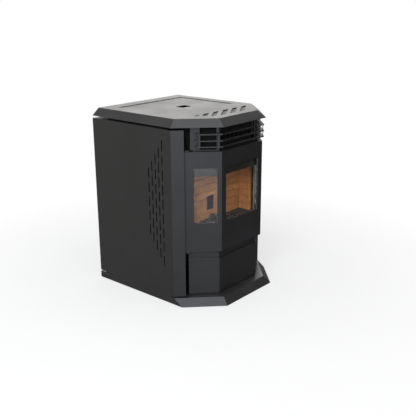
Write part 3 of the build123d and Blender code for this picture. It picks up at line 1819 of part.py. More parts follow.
finish(exhaust_housing, "exhaust_housing")

wheel_plate = 2.0


def fan_wheel(x, y, z, radius, width, blades, blade_depth, hub_radius):
    """Disc, hub and straight blades of a centrifugal wheel turning about X."""
    rod((x, y, z), (1, 0, 0), radius, wheel_plate)
    rod((x - width / 2, y, z), (1, 0, 0), hub_radius, width / 2 + wheel_plate / 2)
    middle = radius - blade_depth / 2
    with BuildSketch(Plane(origin=(x, y, z), x_dir=(0, 1, 0), z_dir=(-1, 0, 0))) as blade_plan:
        with PolarLocations(middle, blades):
            Rectangle(blade_depth, wheel_plate)
    extrude(blade_plan.sketch, amount=width)


def fan_shaft(x, y, z, start, motor_x):
    """Shaft from a place in front of the disc into the motor's bearing."""
    rod((x - start, y, z), (1, 0, 0), shaft_radius, motor_x + bearing_reach - x + start)


bearing_reach = 18.0        # length of each fan shaft inside its motor
bearing_end_gap = 3.0
exhaust_blade_count = 12
exhaust_blade_width = 34.0
exhaust_blade_depth = 30.0
exhaust_hub_radius = 10.0
exhaust_disc_gap = 28.0     # disc's front from the drum's far end
fan_disc_x = exhaust_high_x - exhaust_disc_gap
with BuildPart() as exhaust_impeller:
    fan_wheel(
        fan_disc_x,
        exhaust_y,
        exhaust_z,
        exhaust_wheel_radius,
        exhaust_blade_width,
        exhaust_blade_count,
        exhaust_blade_depth,
        exhaust_hub_radius,
    )
    fan_shaft(fan_disc_x, exhaust_y, exhaust_z, exhaust_hub_radius, exhaust_high_x)
finish(exhaust_impeller, "exhaust_impeller")


def fan_motor(x, y, z, radius, length, flange_radius):
    """Motor can behind a flange, bored for the fan's shaft."""
    rod((x, y, z), (1, 0, 0), flange_radius, motor_flange)
    rod((x, y, z), (1, 0, 0), radius, length)
    rod(
        (x - past, y, z),
        (1, 0, 0),
        shaft_radius + pin_clearance,
        bearing_reach + bearing_end_gap + past,
        Mode.SUBTRACT,
    )


motor_flange = 3.0
exhaust_motor_radius = 38.0
exhaust_motor_length = 68.0
fin_count = 4
fin_pitch = 12.0
fin_gap = 5.0
fin_depth = 3.0
first_fin_gap = 14.0
with BuildPart() as exhaust_motor:
    fan_motor(
        exhaust_high_x,
        exhaust_y,
        exhaust_z,
        exhaust_motor_radius,
        exhaust_motor_length,
        exhaust_motor_radius,
    )
    for index in range(fin_count):
        groove_x = exhaust_high_x + first_fin_gap + index * fin_pitch
        with BuildSketch(Plane(origin=(groove_x, exhaust_y, exhaust_z), z_dir=(1, 0, 0))) as ring:
            Circle(exhaust_motor_radius + past)
            Circle(exhaust_motor_radius - fin_depth, mode=Mode.SUBTRACT)
        extrude(ring.sketch, amount=fin_gap, mode=Mode.SUBTRACT)
finish(exhaust_motor, "exhaust_motor")

pipe_end_y = rear_y - pipe_end_gap
bead_height = 2.5
bead_length = 2.2
bead_y = back_y + sheet + joint_gap


def pipe(x, z, radius, start_y):
    """Pipe along Y with a stop bead just outside the rear panel."""
    length = pipe_end_y - start_y
    rod((x, start_y, z), (0, 1, 0), radius, length)
    rod((x, bead_y, z), (0, 1, 0), radius + bead_height, bead_length)
    rod(
        (x, start_y - past, z), (0, 1, 0), radius - pipe_wall, length + 2 * past, Mode.SUBTRACT
    )


with BuildPart() as flue_outlet:
    pipe(flue_x, flue_z, flue_radius, exhaust_neck_end_y)
finish(flue_outlet, "flue_outlet")

with BuildPart() as air_intake_pipe:
    pipe(intake_x, intake_z, intake_radius, neck_rear)
finish(air_intake_pipe, "air_intake_pipe")


# ---------------------------------------------------------------- room air
room_stand_low_x = room_low_x + 27.0
room_stand_high_x = room_low_x + 83.0
room_stand_half = 30.0
room_stand_lap = 12.0
room_eye_radius = 42.0
with BuildPart() as convection_housing:
    drum_length = room_high_x - room_low_x
    drum_low_z = room_z - room_radius
    rod((room_low_x, room_y, room_z), (1, 0, 0), room_radius, drum_length)
    block(duct_low_x, duct_high_x, duct_joint_y, room_y, duct_low_z, duct_turn_z)
    pedestal(
        room_stand_low_x,
        room_stand_high_x,
        room_y - room_stand_half,
        room_y + room_stand_half,
        drum_low_z + room_stand_lap,
        drum_low_z - past,
    )
    rod(
        (room_low_x + sheet, room_y, room_z),
        (1, 0, 0),
        room_radius - sheet,
        drum_length - 2 * sheet,
        Mode.SUBTRACT,
    )
    block(
        duct_low_x + sheet,
        duct_high_x - sheet,
        duct_joint_y - past,
        room_y,
        duct_low_z + sheet,
        duct_turn_z - sheet,
        Mode.SUBTRACT,
    )
    rod(
        (room_low_x - past, room_y, room_z),
        (1, 0, 0),
        room_eye_radius,
        sheet + 2 * past,
        Mode.SUBTRACT,
    )
    shaft_hole(room_high_x, room_y, room_z, sheet)
finish(convection_housing, "convection_housing")

cage_blade_count = 28
cage_blade_depth = 11.0
cage_hub_radius = 11.0
cage_disc_gap = 12.0
cage_ring_depth = 11.5
cage_shaft_start = 30.0
cage_disc_x = room_high_x - cage_disc_gap
with BuildPart() as convection_impeller:
    fan_wheel(
        cage_disc_x,
        room_y,
        room_z,
        cage_radius,
        cage_length,
        cage_blade_count,
        cage_blade_depth,
        cage_hub_radius,
    )
    cage_end = Plane(origin=(cage_disc_x - cage_length, room_y, room_z), z_dir=(1, 0, 0))
    with BuildSketch(cage_end) as cage_ring:
        Circle(cage_radius)
        Circle(cage_radius - cage_ring_depth, mode=Mode.SUBTRACT)
    extrude(cage_ring.sketch, amount=wheel_plate)
    fan_shaft(cage_disc_x, room_y, room_z, cage_shaft_start, room_high_x)
finish(convection_impeller, "convection_impeller")

room_motor_flange_radius = 42.0
room_motor_radius = 34.0
room_motor_length = 56.0
with BuildPart() as convection_motor:
    fan_motor(
        room_high_x,
        room_y,
        room_z,
        room_motor_radius,
        room_motor_length,
        room_motor_flange_radius,
    )
finish(convection_motor, "convection_motor")

duct_front_gap = 2.0
duct_rear_gap = 1.0
with BuildPart() as convection_duct:
    rise_low_y = firebox_rear_y + duct_front_gap
    rise_high_y = exchanger_rear_y - duct_rear_gap
    block(duct_low_x, duct_high_x, rise_low_y, duct_joint_y, duct_low_z, duct_turn_z)
    block(duct_low_x, duct_high_x, rise_low_y, rise_high_y, duct_low_z, firebox_top_z)
    block(
        duct_low_x + sheet,
        duct_high_x - sheet,
        rise_low_y + sheet,
        duct_joint_y + past,
        duct_low_z + sheet,
        duct_turn_z - sheet,
        Mode.SUBTRACT,
    )
    block(
        duct_low_x + sheet,
        duct_high_x - sheet,
        rise_low_y + sheet,
        rise_high_y - sheet,
        duct_low_z + sheet,
        firebox_top_z + past,
        Mode.SUBTRACT,
    )
finish(convection_duct, "convection_duct")


# ---------------------------------------------------------------- controls
fascia = 3.0
fascia_x = inner_x - fascia
fascia_lap = 7.0
window_low_y = control_low_y + 17.0
window_high_y = window_low_y + 60.0
display_low_z = control_low_z + 54.0
display_high_z = display_low_z + 30.0
display_gap = 0.2
display_recess = 0.5
display_flange = 3.0
display_flange_plate = 1.5
display_depth = 4.4
button_clearance = 0.3
button_flange = 1.5
button_flange_reach = 2.0
button_proud = 0.9
button_edge_radius = 0.6
button_travel = 1.2
button_stem_radius = 2.0
button_stem = 1.0
stem_gap = 0.1
board_depth = 12.5          # board's back behind the panel's inner face
board_plate = 1.6
standoff_inset = 5.0
standoff_radius = 3.0
switch_half = 4.0
board_x = inner_x - board_depth
board_face_x = board_x + board_plate

with BuildPart() as control_panel:
    block(
        fascia_x,
        inner_x,
        control_low_y - fascia_lap,
        control_high_y + fascia_lap,
        control_low_z - fascia_lap,
        control_high_z + fascia_lap,
    )
    block(
        fascia_x - past,
        inner_x + past,
        window_low_y,
        window_high_y,
        display_low_z,
        display_high_z,
        Mode.SUBTRACT,
    )
    for y in button_ys:
        rod(
            (fascia_x - past, y, button_z),
            (1, 0, 0),
            button_radius + button_clearance,
            fascia + 2 * past,
            Mode.SUBTRACT,
        )
finish(control_panel, "control_panel")

with BuildPart() as display_window:
    block(
        fascia_x,
        inner_x - display_recess,
        window_low_y + display_gap,
        window_high_y - display_gap,
        display_low_z + display_gap,
        display_high_z - display_gap,
    )
    block(
        fascia_x - display_flange_plate,
        fascia_x,
        window_low_y - display_flange,
        window_high_y + display_flange,
        display_low_z - display_flange,
        display_high_z + display_flange,
    )
finish(display_window, "display_window")

# Parts on the board's back: y and z from the board's low corner, and depth
board_parts = [(9.0, 29.0, 50.0, 80.0, 16.0), (37.0, 53.0, 50.0, 90.0, 12.0)]
board_parts.append((75.0, 115.0, 50.0, 88.0, 22.0))
flange_front_x = fascia_x - joint_gap
with BuildPart() as control_board:
    block(board_x, board_face_x, control_low_y, control_high_y, control_low_z, control_high_z)
    for y in (control_low_y + standoff_inset, control_high_y - standoff_inset):
        for z in (control_low_z + standoff_inset, control_high_z - standoff_inset):
            rod((board_face_x, y, z), (1, 0, 0), standoff_radius, fascia_x - board_face_x)
    plunger_x = flange_front_x - button_flange - joint_gap - button_travel
    for y in button_ys:
        switch = rectangle(board_face_x, plunger_x, y - switch_half, y + switch_half)
        prism(switch, button_z - switch_half, button_z + switch_half)
    display_front_x = board_face_x + display_depth
    display = rectangle(board_face_x, display_front_x, window_low_y, window_high_y)
    prism(display, display_low_z, display_high_z)
    for y_low, y_high, z_low, z_high, depth in board_parts:
        outline = rectangle(
            board_x - depth, board_x, control_low_y + y_low, control_low_y + y_high
        )
        prism(outline, control_low_z + z_low, control_low_z + z_high)
finish(control_board, "control_board")

button_face_x = inner_x + button_proud
for name, y in zip(("button_power", "button_down", "button_up"), button_ys):
    with BuildPart() as button:
        flange_back_x = flange_front_x - button_flange
        flange_radius = button_radius + button_flange_reach
        rod((flange_back_x, y, button_z), (1, 0, 0), flange_radius, button_flange)
        rod((flange_back_x, y, button_z), (1, 0, 0), button_radius, button_face_x - flange_back_x)
        fillet(button.edges().group_by(Axis.X)[-1], button_edge_radius)
        stem_x = plunger_x + button_travel + stem_gap
        rod((stem_x, y, button_z), (1, 0, 0), button_stem_radius, button_stem)
    finish(button, name)

# ---------------------------------------------------------------- power inlet and switch
inlet_face_y = back_y + sheet
inlet_body_depth = 22.0
inlet_rim = 4.0
inlet_rim_height = 2.5
socket_depth = 16.0
socket_half_x = 11.5
socket_half_z = 8.0
socket_pin_radius = 1.4
socket_pin_length = 9.0
socket_pin_root = 0.5
socket_pins = [(-7.0, -2.5), (0.0, 2.5), (7.0, -2.5)]
rocker_half_x = 9.0
rocker_half_z = 6.5
rocker_hole_x = rocker_half_x + joint_gap
rocker_hole_z = rocker_half_z + joint_gap
rocker_hole_depth = 12.0
rocker_axis_y = inlet_face_y + 0.5
rocker_keel = 7.0           # depth and half thickness of the part behind its axis
rocker_keel_half = 2.0
rocker_shoulder = 1.5
rocker_tip = 3.6
rocker_middle = 2.4
rocker_end = rocker_half_z - 1.4
rocker_pivot_radius = 1.2
rocker_pivot_reach = 1.5    # how far each pivot stands out of the rocker's side

with BuildPart() as power_inlet:
    body_half = inlet_half_width - joint_gap
    rim_half = inlet_half_width + inlet_rim
    rim_face_y = inlet_face_y + inlet_rim_height
    block(
        inlet_x - body_half,
        inlet_x + body_half,
        back_y - inlet_body_depth,
        inlet_face_y,
        inlet_low_z + joint_gap,
        inlet_high_z - joint_gap,
    )
    block(
        inlet_x - rim_half,
        inlet_x + rim_half,
        inlet_face_y,
        rim_face_y,
        inlet_low_z - inlet_rim,
        inlet_high_z + inlet_rim,
    )
    block(
        inlet_x - socket_half_x,
        inlet_x + socket_half_x,
        back_y - socket_depth,
        rim_face_y + past,
        inlet_z - socket_half_z,
        inlet_z + socket_half_z,
        Mode.SUBTRACT,
    )
    for x, z in socket_pins:
        root = (inlet_x + x, back_y - socket_depth - socket_pin_root, inlet_z + z)
        rod(root, (0, 1, 0), socket_pin_radius, socket_pin_length)
    block(
        inlet_x - rocker_hole_x,
        inlet_x + rocker_hole_x,
        back_y - rocker_hole_depth,
        rim_face_y + past,
        switch_z - rocker_hole_z,
        switch_z + rocker_hole_z,
        Mode.SUBTRACT,
    )
    pivot_seat_x = rocker_hole_x + rocker_pivot_reach
    rod(
        (inlet_x - pivot_seat_x, rocker_axis_y, switch_z),
        (1, 0, 0),
        rocker_pivot_radius + pin_clearance,
        2 * pivot_seat_x,
        Mode.SUBTRACT,
    )
finish(power_inlet, "power_inlet")

with BuildPart() as power_switch:
    lower_half = [
        (rocker_axis_y - rocker_keel, switch_z - rocker_keel_half),
        (rocker_axis_y + rocker_shoulder, switch_z - rocker_end),
        (rocker_axis_y + rocker_tip, switch_z - rocker_end),
    ]
    upper_half = [(y, 2 * switch_z - z) for y, z in reversed(lower_half)]
    middle = [(rocker_axis_y + rocker_middle, switch_z)]
    side_prism(lower_half + middle + upper_half, inlet_x - rocker_half_x, inlet_x + rocker_half_x)
    pivot_x = rocker_half_x + rocker_pivot_reach
    pivot_start = (inlet_x - pivot_x, rocker_axis_y, switch_z)
    rod(pivot_start, (1, 0, 0), rocker_pivot_radius, 2 * pivot_x)
finish(power_switch, "power_switch")
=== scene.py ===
from math import pi, radians

import bmesh
import bpy
from mathutils import Matrix, Vector


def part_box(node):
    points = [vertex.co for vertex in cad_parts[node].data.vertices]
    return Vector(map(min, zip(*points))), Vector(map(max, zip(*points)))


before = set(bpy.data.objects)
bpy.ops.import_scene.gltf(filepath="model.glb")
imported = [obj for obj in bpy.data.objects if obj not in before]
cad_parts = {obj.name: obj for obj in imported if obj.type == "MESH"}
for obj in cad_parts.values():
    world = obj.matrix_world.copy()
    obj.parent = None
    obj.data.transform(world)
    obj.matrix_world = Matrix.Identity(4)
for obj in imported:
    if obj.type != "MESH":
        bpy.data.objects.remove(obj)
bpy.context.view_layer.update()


# ---------------------------------------------------------------- Base plinth
# A shallow pan of 2 mm sheet steel with a sloped apron, cut and folded at the bay's corners.
# The corner seams are welded and ground flush, and the pan is sprayed with satin black stove
# paint and baked.


def add_node(tree, kind, inputs=None, **settings):
    """Adds a shader node. inputs maps a socket's name or number to a value or to an output."""
    made = tree.nodes.new(kind)
    for name, value in settings.items():
        setattr(made, name, value)
    for name, value in (inputs or {}).items():
        if isinstance(value, bpy.types.NodeSocket):
            tree.links.new(value, made.inputs[name])
        else:
            made.inputs[name].default_value = value
    return made


def find_node(tree, kind):
    """The tree's one node of that type."""
    return next(node for node in tree.nodes if node.type == kind)


def socket_label(name):
    """Turns base_color into Base Color."""
    return " ".join(word[0].upper() + word[1:] for word in name.split("_"))


def plug(tree, node, **outputs):
    """Links each output to the node's input of that name."""
    for name, output in outputs.items():
        tree.links.new(output, node.inputs[socket_label(name)])


def start_group(name, inputs, outputs):
    """An empty shader node group, what it is given, and the node that takes its results."""
    group = bpy.data.node_groups.new(name, "ShaderNodeTree")
    for label, kind, value in inputs:
        socket = group.interface.new_socket(label, in_out="INPUT", socket_type=kind)
        socket.default_value = value
    for label, kind in outputs:
        group.interface.new_socket(label, in_out="OUTPUT", socket_type=kind)
    given = add_node(group, "NodeGroupInput").outputs
    return group, given, add_node(group, "NodeGroupOutput")


def noise(tree, place, size, detail, squeeze=None):
    """Noise with features about size metres across, shorter by squeeze along each axis."""
    if squeeze:
        scaled = add_node(tree, "ShaderNodeVectorMath", {0: place, 1: squeeze}, operation="MULTIPLY")
        place = scaled.outputs[0]
    texture = add_node(
        tree, "ShaderNodeTexNoise", {"Vector": place, "Scale": 1 / size, "Detail": detail}
    )
    return texture.outputs[0]


def remap(tree, value, low, high, to_low=0.0, to_high=1.0):
    """Stretches low..high to to_low..to_high and holds it there."""
    made = add_node(
        tree,
        "ShaderNodeMapRange",
        {"Value": value, "From Min": low, "From Max": high, "To Min": to_low, "To Max": to_high},
    )
    return made.outputs[0]


def swing(tree, value):
    """Spreads the range that noise mostly keeps to over -1 to 1."""
    return remap(tree, value, 0.35, 0.65, -1.0, 1.0)


def calc(tree, operation, *operands):
    """A Math node on values and outputs."""
    inputs = dict(enumerate(operands))
    return add_node(tree, "ShaderNodeMath", inputs, operation=operation).outputs[0]


def product(tree, first, *others):
    """All the values multiplied together."""
    for other in others:
        first = calc(tree, "MULTIPLY", first, other)
    return first


def shared(tree, first, second, share):
    """A share of the first value, with the second as the rest."""
    return calc(tree, "ADD", product(tree, first, share), product(tree, second, 1 - share))


def cosine(tree, first, second):
    """How well two unit directions agree: 1 where they are the same."""
    made = add_node(
        tree, "ShaderNodeVectorMath", {0: first, 1: second}, operation="DOT_PRODUCT"
    )
    return made.outputs["Value"]


def blend_color(tree, amount, first, second, blend_type="MIX"):
    """The first colour, going over to the second by an amount or a mask."""
    mixed = add_node(
        tree,
        "ShaderNodeMix",
        {0: amount, 6: first, 7: second},
        data_type="RGBA",
        blend_type=blend_type,
    )
    return mixed.outputs[2]


def shade_color(tree, color, shade):
    """Darkens or lightens a colour: a shade of 1 leaves it alone."""
    grey = add_node(tree, "ShaderNodeCombineColor", {0: shade, 1: shade, 2: shade}).outputs[0]
    return blend_color(tree, 1.0, color, grey, "MULTIPLY")


def object_place(tree):
    """The place on the piece, in metres."""
    return add_node(tree, "ShaderNodeTexCoord").outputs["Object"]


finish_outputs = [
    ("Color", "NodeSocketColor"),
    ("Roughness", "NodeSocketFloat"),
    ("Height", "NodeSocketFloat"),
]


def build_sprayed_coat():
    """Sprayed and baked paint: cloudy film thickness, faint mottle and a fine stipple."""
    group, given, result = start_group(
        "Sprayed Coat",
        [
            ("Color", "NodeSocketColor", (0.5, 0.5, 0.5, 1)),
            ("Roughness", "NodeSocketFloat", 0.5),
            ("Mottle", "NodeSocketFloat", 0.2),
        ],
        finish_outputs,
    )
    place = object_place(group)
    cloud = noise(group, place, size=0.16, detail=3)
    mottle = noise(group, place, size=0.009, detail=3)
    stipple = noise(group, place, size=0.0011, detail=1)
    spread = swing(group, shared(group, cloud, mottle, share=0.6))
    shade = calc(group, "MULTIPLY_ADD", spread, given["Mottle"], 1.0)
    rough_swing = 0.05
    plug(
        group,
        result,
        color=shade_color(group, given["Color"], shade),
        roughness=calc(group, "MULTIPLY_ADD", spread, rough_swing, given["Roughness"]),
        height=stipple,
    )
    return group


def build_rubbed_highlit_edges():
    """Mask of the outer edges, where paint is thin or metal is handled bright, and where a highlight
    is painted.
    """
    group, given, result = start_group(
        "Rubbed Highlit Edges",
        [("Width", "NodeSocketFloat", 0.001), ("Amount", "NodeSocketFloat", 0.5)],
        [("Mask", "NodeSocketFloat")],
    )
    rounded = add_node(group, "ShaderNodeBevel", {"Radius": given["Width"]}, samples=4)
    surface = add_node(group, "ShaderNodeNewGeometry").outputs["Normal"]
    flat_cosine, edge_cosine = 0.985, 0.86
    edge = remap(group, cosine(group, rounded.outputs[0], surface), flat_cosine, edge_cosine)
    patches = noise(group, object_place(group), size=0.012, detail=4)
    broken = remap(group, patches, 0.35, 0.6, to_low=0.2)
    plug(group, result, mask=product(group, edge, broken, given["Amount"]))
    return group


def build_settled_dust():
    """Mask of a thin film of dust on whatever faces up."""
    group, given, result = start_group(
        "Settled Dust",
        [("Amount", "NodeSocketFloat", 0.2)],
        [("Mask", "NodeSocketFloat")],
    )
    coordinates = add_node(group, "ShaderNodeTexCoord").outputs
    upward = add_node(group, "ShaderNodeSeparateXYZ", {0: coordinates["Normal"]}).outputs["Z"]
    bare_slope, dusty_slope = 0.55, 0.98
    level = remap(group, upward, bare_slope, dusty_slope)
    patches = noise(group, coordinates["Object"], size=0.05, detail=5)
    patchy = remap(group, patches, 0.3, 0.75, to_low=0.25)
    plug(group, result, mask=product(group, level, patchy, given["Amount"]))
    return group


sprayed_coat = build_sprayed_coat()
rubbed_highlit_edges = build_rubbed_highlit_edges()
settled_dust = build_settled_dust()


def use_group(tree, group, **values):
    """Places a group with its inputs set, and gives its outputs."""
    inputs = {socket_label(name): value for name, value in values.items()}
    return add_node(tree, "ShaderNodeGroup", inputs, node_tree=group).outputs


def start_material(name, **plain_sockets):
    """A material with its Principled shader, whose plain values are set on its own sockets."""
    material = bpy.data.materials.new(name)
    material.use_nodes = True
    tree = material.node_tree
    shader = find_node(tree, "BSDF_PRINCIPLED")
    for socket, value in plain_sockets.items():
        shader.inputs[socket_label(socket)].default_value = value
    return material, tree, shader


def bump(tree, shader, height, depth):
    """Relief of that depth in metres, where height runs from 0 to 1."""
    made = add_node(tree, "ShaderNodeBump", {"Height": height, "Distance": depth, "Strength": 1.0})
    tree.links.new(made.outputs[0], shader.inputs["Normal"])


dust_color = (0.16, 0.15, 0.135, 1)


def dust_over(tree, shader, color, amount, film_color=dust_color):
    """Gives the shader a colour under a film of dust, and returns the film's mask."""
    film = use_group(tree, settled_dust, amount=amount)["Mask"]
    plug(tree, shader, base_color=blend_color(tree, film, color, film_color))
    return film


def dull(tree, shader, roughness, film, amount):
    """Roughens the shader by an amount where the film's mask is full."""
    plug(tree, shader, roughness=calc(tree, "ADD", roughness, product(tree, film, amount)))


def stove_paint(name, color, roughness, edge=0.35):
    """Baked stove paint with thin paint and a painted highlight on its edges, dusty where it faces
    up.
    """
    material, tree, shader = start_material(name)
    coat = use_group(tree, sprayed_coat, color=color, roughness=roughness, mottle=0.12)
    rubbed_highlit = use_group(tree, rubbed_highlit_edges, width=0.0012, amount=edge)["Mask"]
    # The edges are made four times lighter: partly thinner paint, partly a painted highlight.
    highlight_lightening, rub_polish = 4, 0.12
    highlight_color = (*(highlight_lightening * part for part in color[:3]), 1)
    highlit = blend_color(tree, rubbed_highlit, coat["Color"], highlight_color)
    film = dust_over(tree, shader, highlit, amount=0.1)
    smooth = calc(tree, "SUBTRACT", coat["Roughness"], product(tree, rubbed_highlit, rub_polish))
    dull(tree, shader, smooth, film, amount=0.35)
    bump(tree, shader, coat["Height"], depth=0.00001)
    return material


satin_black = stove_paint("satin_black_paint", color=(0.0135, 0.0135, 0.014, 1), roughness=0.42)

weld_distance = 0.00001
flat_angle = radians(0.3)
sharp_angle = radians(32)


def dress(node_name, material, edge=0.0006):
    """Gives a CAD node its finish, and rounds its edges by a small radius in metres."""
    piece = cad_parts[node_name]
    piece.data.materials.clear()
    piece.data.materials.append(material)
    for polygon in piece.data.polygons:
        polygon.material_index = 0
    if edge:
        piece.modifiers.new("joined_corners", "WELD").merge_threshold = weld_distance
        flat = piece.modifiers.new("flat_faces", "DECIMATE")
        flat.decimate_type = "DISSOLVE"
        flat.angle_limit = flat_angle
        rounded = piece.modifiers.new("rounded_edges", "BEVEL")
        rounded.width = edge
        rounded.segments = 2
        rounded.limit_method = "ANGLE"
        rounded.angle_limit = sharp_angle
        rounded.miter_outer = "MITER_ARC"
        rounded.loop_slide = False
        piece.modifiers.new("even_shading", "WEIGHTED_NORMAL").keep_sharp = True


dress("base_plinth", satin_black)

# ---------------------------------------------------------------- Levelling feet
# Pressed pads on threaded studs, locked above and below the plinth's deck by hexagon nuts.
# Bright zinc plating over turned steel, which dulls to a soft grey.


def build_plated_steel():
    """Fine lathe or rolling marks, with cloudy plating."""
    group, given, result = start_group(
        "Plated Steel",
        [
            ("Color", "NodeSocketColor", (0.6, 0.6, 0.6, 1)),
            ("Roughness", "NodeSocketFloat", 0.35),
            ("Cloud Size", "NodeSocketFloat", 0.01),
        ],
        finish_outputs,
    )
    place = object_place(group)
    scale = calc(group, "DIVIDE", 1.0, given["Cloud Size"])
    cloud = add_node(group, "ShaderNodeTexNoise", {"Vector": place, "Scale": scale, "Detail": 3})
    marks = noise(group, place, size=0.0004, detail=1, squeeze=(1, 1, 6))
    spread = swing(group, cloud.outputs[0])
    shade_swing, shade_middle, rough_swing = 0.1, 0.95, -0.07
    shade = calc(group, "MULTIPLY_ADD", spread, shade_swing, shade_middle)
    plug(
        group,
        result,
        color=shade_color(group, given["Color"], shade),
        roughness=calc(group, "MULTIPLY_ADD", spread, rough_swing, given["Roughness"]),
        height=marks,
    )
    return group


plated_steel = build_plated_steel()


def plated(name, color, roughness, cloud_size):
    """Zinc plating with a little dust in its marks."""
    material, tree, shader = start_material(name, metallic=1.0)
    metal = use_group(tree, plated_steel, color=color, roughness=roughness, cloud_size=cloud_size)
    film = dust_over(tree, shader, metal["Color"], amount=0.25)
    dull(tree, shader, metal["Roughness"], film, amount=0.3)
    bump(tree, shader, metal["Height"], depth=0.000008)
    return material


bright_zinc = plated("bright_zinc", (0.62, 0.63, 0.65, 1), roughness=0.3, cloud_size=0.008)

dress("leveling_feet", bright_zinc, edge=0.0005)

# ---------------------------------------------------------------- Carcass
# Rear corner posts of galvanised angle, and a matt black upper frame that carries the top and
# closes the space under its vents. Two folded jambs and a 3 mm front frame stand round the
# door, painted with the casing.


def build_zinc_spangle():
    """Hot-dip galvanising: large frozen crystals, each with its own shade and gloss."""
    group, given, result = start_group(
        "Zinc Spangle",
        [("Color", "NodeSocketColor", (0.5, 0.5, 0.5, 1)), ("Crystal", "NodeSocketFloat", 0.012)],
        finish_outputs,
    )
    place = object_place(group)
    wander = add_node(group, "ShaderNodeTexNoise", {"Vector": place, "Scale": 60.0, "Detail": 2})
    wander_reach = (0.006, 0.006, 0.006)
    shifted = add_node(
        group,
        "ShaderNodeVectorMath",
        {0: wander.outputs["Color"], 1: wander_reach, 2: place},
        operation="MULTIPLY_ADD",
    )
    crystals = add_node(
        group,
        "ShaderNodeTexVoronoi",
        {"Vector": shifted.outputs[0], "Scale": calc(group, "DIVIDE", 1.0, given["Crystal"])},
    )
    value = add_node(group, "ShaderNodeSeparateColor", {0: crystals.outputs["Color"]}).outputs[0]
    shade = remap(group, value, 0.0, 1.0, to_low=0.78, to_high=1.12)
    plug(
        group,
        result,
        color=shade_color(group, given["Color"], shade),
        roughness=remap(group, value, 0.0, 1.0, to_low=0.34, to_high=0.5),
        height=value,
    )
    return group


zinc_spangle = build_zinc_spangle()


def galvanised(name, color, crystal):
    """Galvanised sheet, duller where dust lies on it."""
    material, tree, shader = start_material(name, metallic=1.0)
    zinc = use_group(tree, zinc_spangle, color=color, crystal=crystal)
    film = dust_over(tree, shader, zinc["Color"], amount=0.35)
    dull(tree, shader, zinc["Roughness"], film, amount=0.3)
    bump(tree, shader, zinc["Height"], depth=0.000015)
    return material


zinc_sheet = galvanised("galvanised_sheet", (0.46, 0.47, 0.49, 1), crystal=0.014)
matt_black = stove_paint(
    "matt_black_paint", color=(0.0125, 0.0125, 0.0125, 1), roughness=0.58, edge=0.1
)

dress("rear_posts", zinc_sheet)
dress("upper_frame", matt_black, edge=0.0)
dress("door_jambs", satin_black)
dress("front_frame", satin_black)

# ---------------------------------------------------------------- Air pipe and pot holder
# The combustion air pipe runs from the rear panel into a sheet steel plenum under the firebox.
# The plenum is seam welded and painted with matt heat paint, and ash has dulled it.


def build_soot_film():
    """Mask of soot and ash grey in billows, broken by upright streaks."""
    group, given, result = start_group(
        "Soot Film",
        [("Amount", "NodeSocketFloat", 0.5)],
        [("Mask", "NodeSocketFloat")],
    )
    place = object_place(group)
    billow = remap(group, noise(group, place, size=0.07, detail=5), 0.3, 0.7)
    streaks = noise(group, place, size=0.02, detail=3, squeeze=(1, 1, 0.25))
    film = remap(group, product(group, billow, streaks), 0.1, 0.55)
    plug(group, result, mask=product(group, film, given["Amount"]))
    return group


soot_film = build_soot_film()


def heat_paint(name, color, ash_color, roughness=0.72, soot=0.7, gloss=0.5):
    """Matt heat paint, hazed with fine ash."""
    material, tree, shader = start_material(name, specular_IOR_level=gloss)
    coat = use_group(tree, sprayed_coat, color=color, roughness=roughness, mottle=0.25)
    film = use_group(tree, soot_film, amount=soot)["Mask"]
    plug(tree, shader, base_color=blend_color(tree, film, coat["Color"], ash_color))
    dull(tree, shader, coat["Roughness"], film, amount=0.15)
    bump(tree, shader, coat["Height"], depth=0.00003)
    return material


matt_heat_paint = heat_paint("matt_heat_paint", (0.03, 0.029, 0.027, 1), (0.09, 0.085, 0.078, 1))

dress("air_intake_pipe", zinc_sheet, edge=0.0004)
dress("burn_pot_holder", matt_heat_paint)

# ---------------------------------------------------------------- Firebox
# A welded box of 3 mm plate, open at the front behind the door. Heat paint inside and out, with
# a pale bloom of fly ash.

dress("firebox_shell", matt_heat_paint, edge=0.0008)

# ---------------------------------------------------------------- Brick lining
# Vacuum-formed fibre boards, moulded as running-bond brick and stained terracotta through.
# They slide in behind the pot, and the rear one is cut out for the pellet chute.

brick_length = 0.066
brick_row = 0.033
mortar_width = 0.0024
light_clay = (0.60, 0.27, 0.105, 1)
dark_clay = (0.50, 0.215, 0.08, 1)
joint_color = (0.30, 0.14, 0.065, 1)
sand_color = (0.70, 0.38, 0.18, 1)
scorch_color = (0.24, 0.115, 0.055, 1)


def build_moulded_bricks():
    """Brick bond in the plane of a vector, with each brick fired a little differently."""
    group, given, result = start_group(
        "Moulded Bricks", [("Place", "NodeSocketVector", (0, 0, 0))], finish_outputs
    )
    place = object_place(group)
    bricks = add_node(
        group,
        "ShaderNodeTexBrick",
        {
            "Vector": given["Place"],
            "Color1": light_clay,
            "Color2": dark_clay,
            "Mortar": joint_color,
            "Scale": 1.0,
            "Mortar Size": mortar_width / 2,
            "Mortar Smooth": 0.3,
            "Bias": -0.1,
            "Brick Width": brick_length,
            "Row Height": brick_row,
        },
        offset=0.5,
        offset_frequency=2,
    )
    sand = noise(group, place, size=0.0022, detail=3)
    scorch = noise(group, place, size=0.11, detail=4)
    sandy = remap(group, sand, 0.35, 0.7, to_high=0.35)
    scorched = remap(group, scorch, 0.45, 0.75, to_high=0.4)
    grain = blend_color(group, sandy, bricks.outputs["Color"], sand_color)
    pores = add_node(group, "ShaderNodeTexVoronoi", {"Vector": place, "Scale": 260.0})
    pits = remap(group, pores.outputs["Distance"], 0.05, 0.28)
    plug(
        group,
        result,
        color=blend_color(group, scorched, grain, scorch_color),
        roughness=remap(group, sand, 0.3, 0.7, to_low=0.82, to_high=0.97),
        height=shared(group, sand, pits, share=0.6),
    )
    return group


moulded_bricks = build_moulded_bricks()


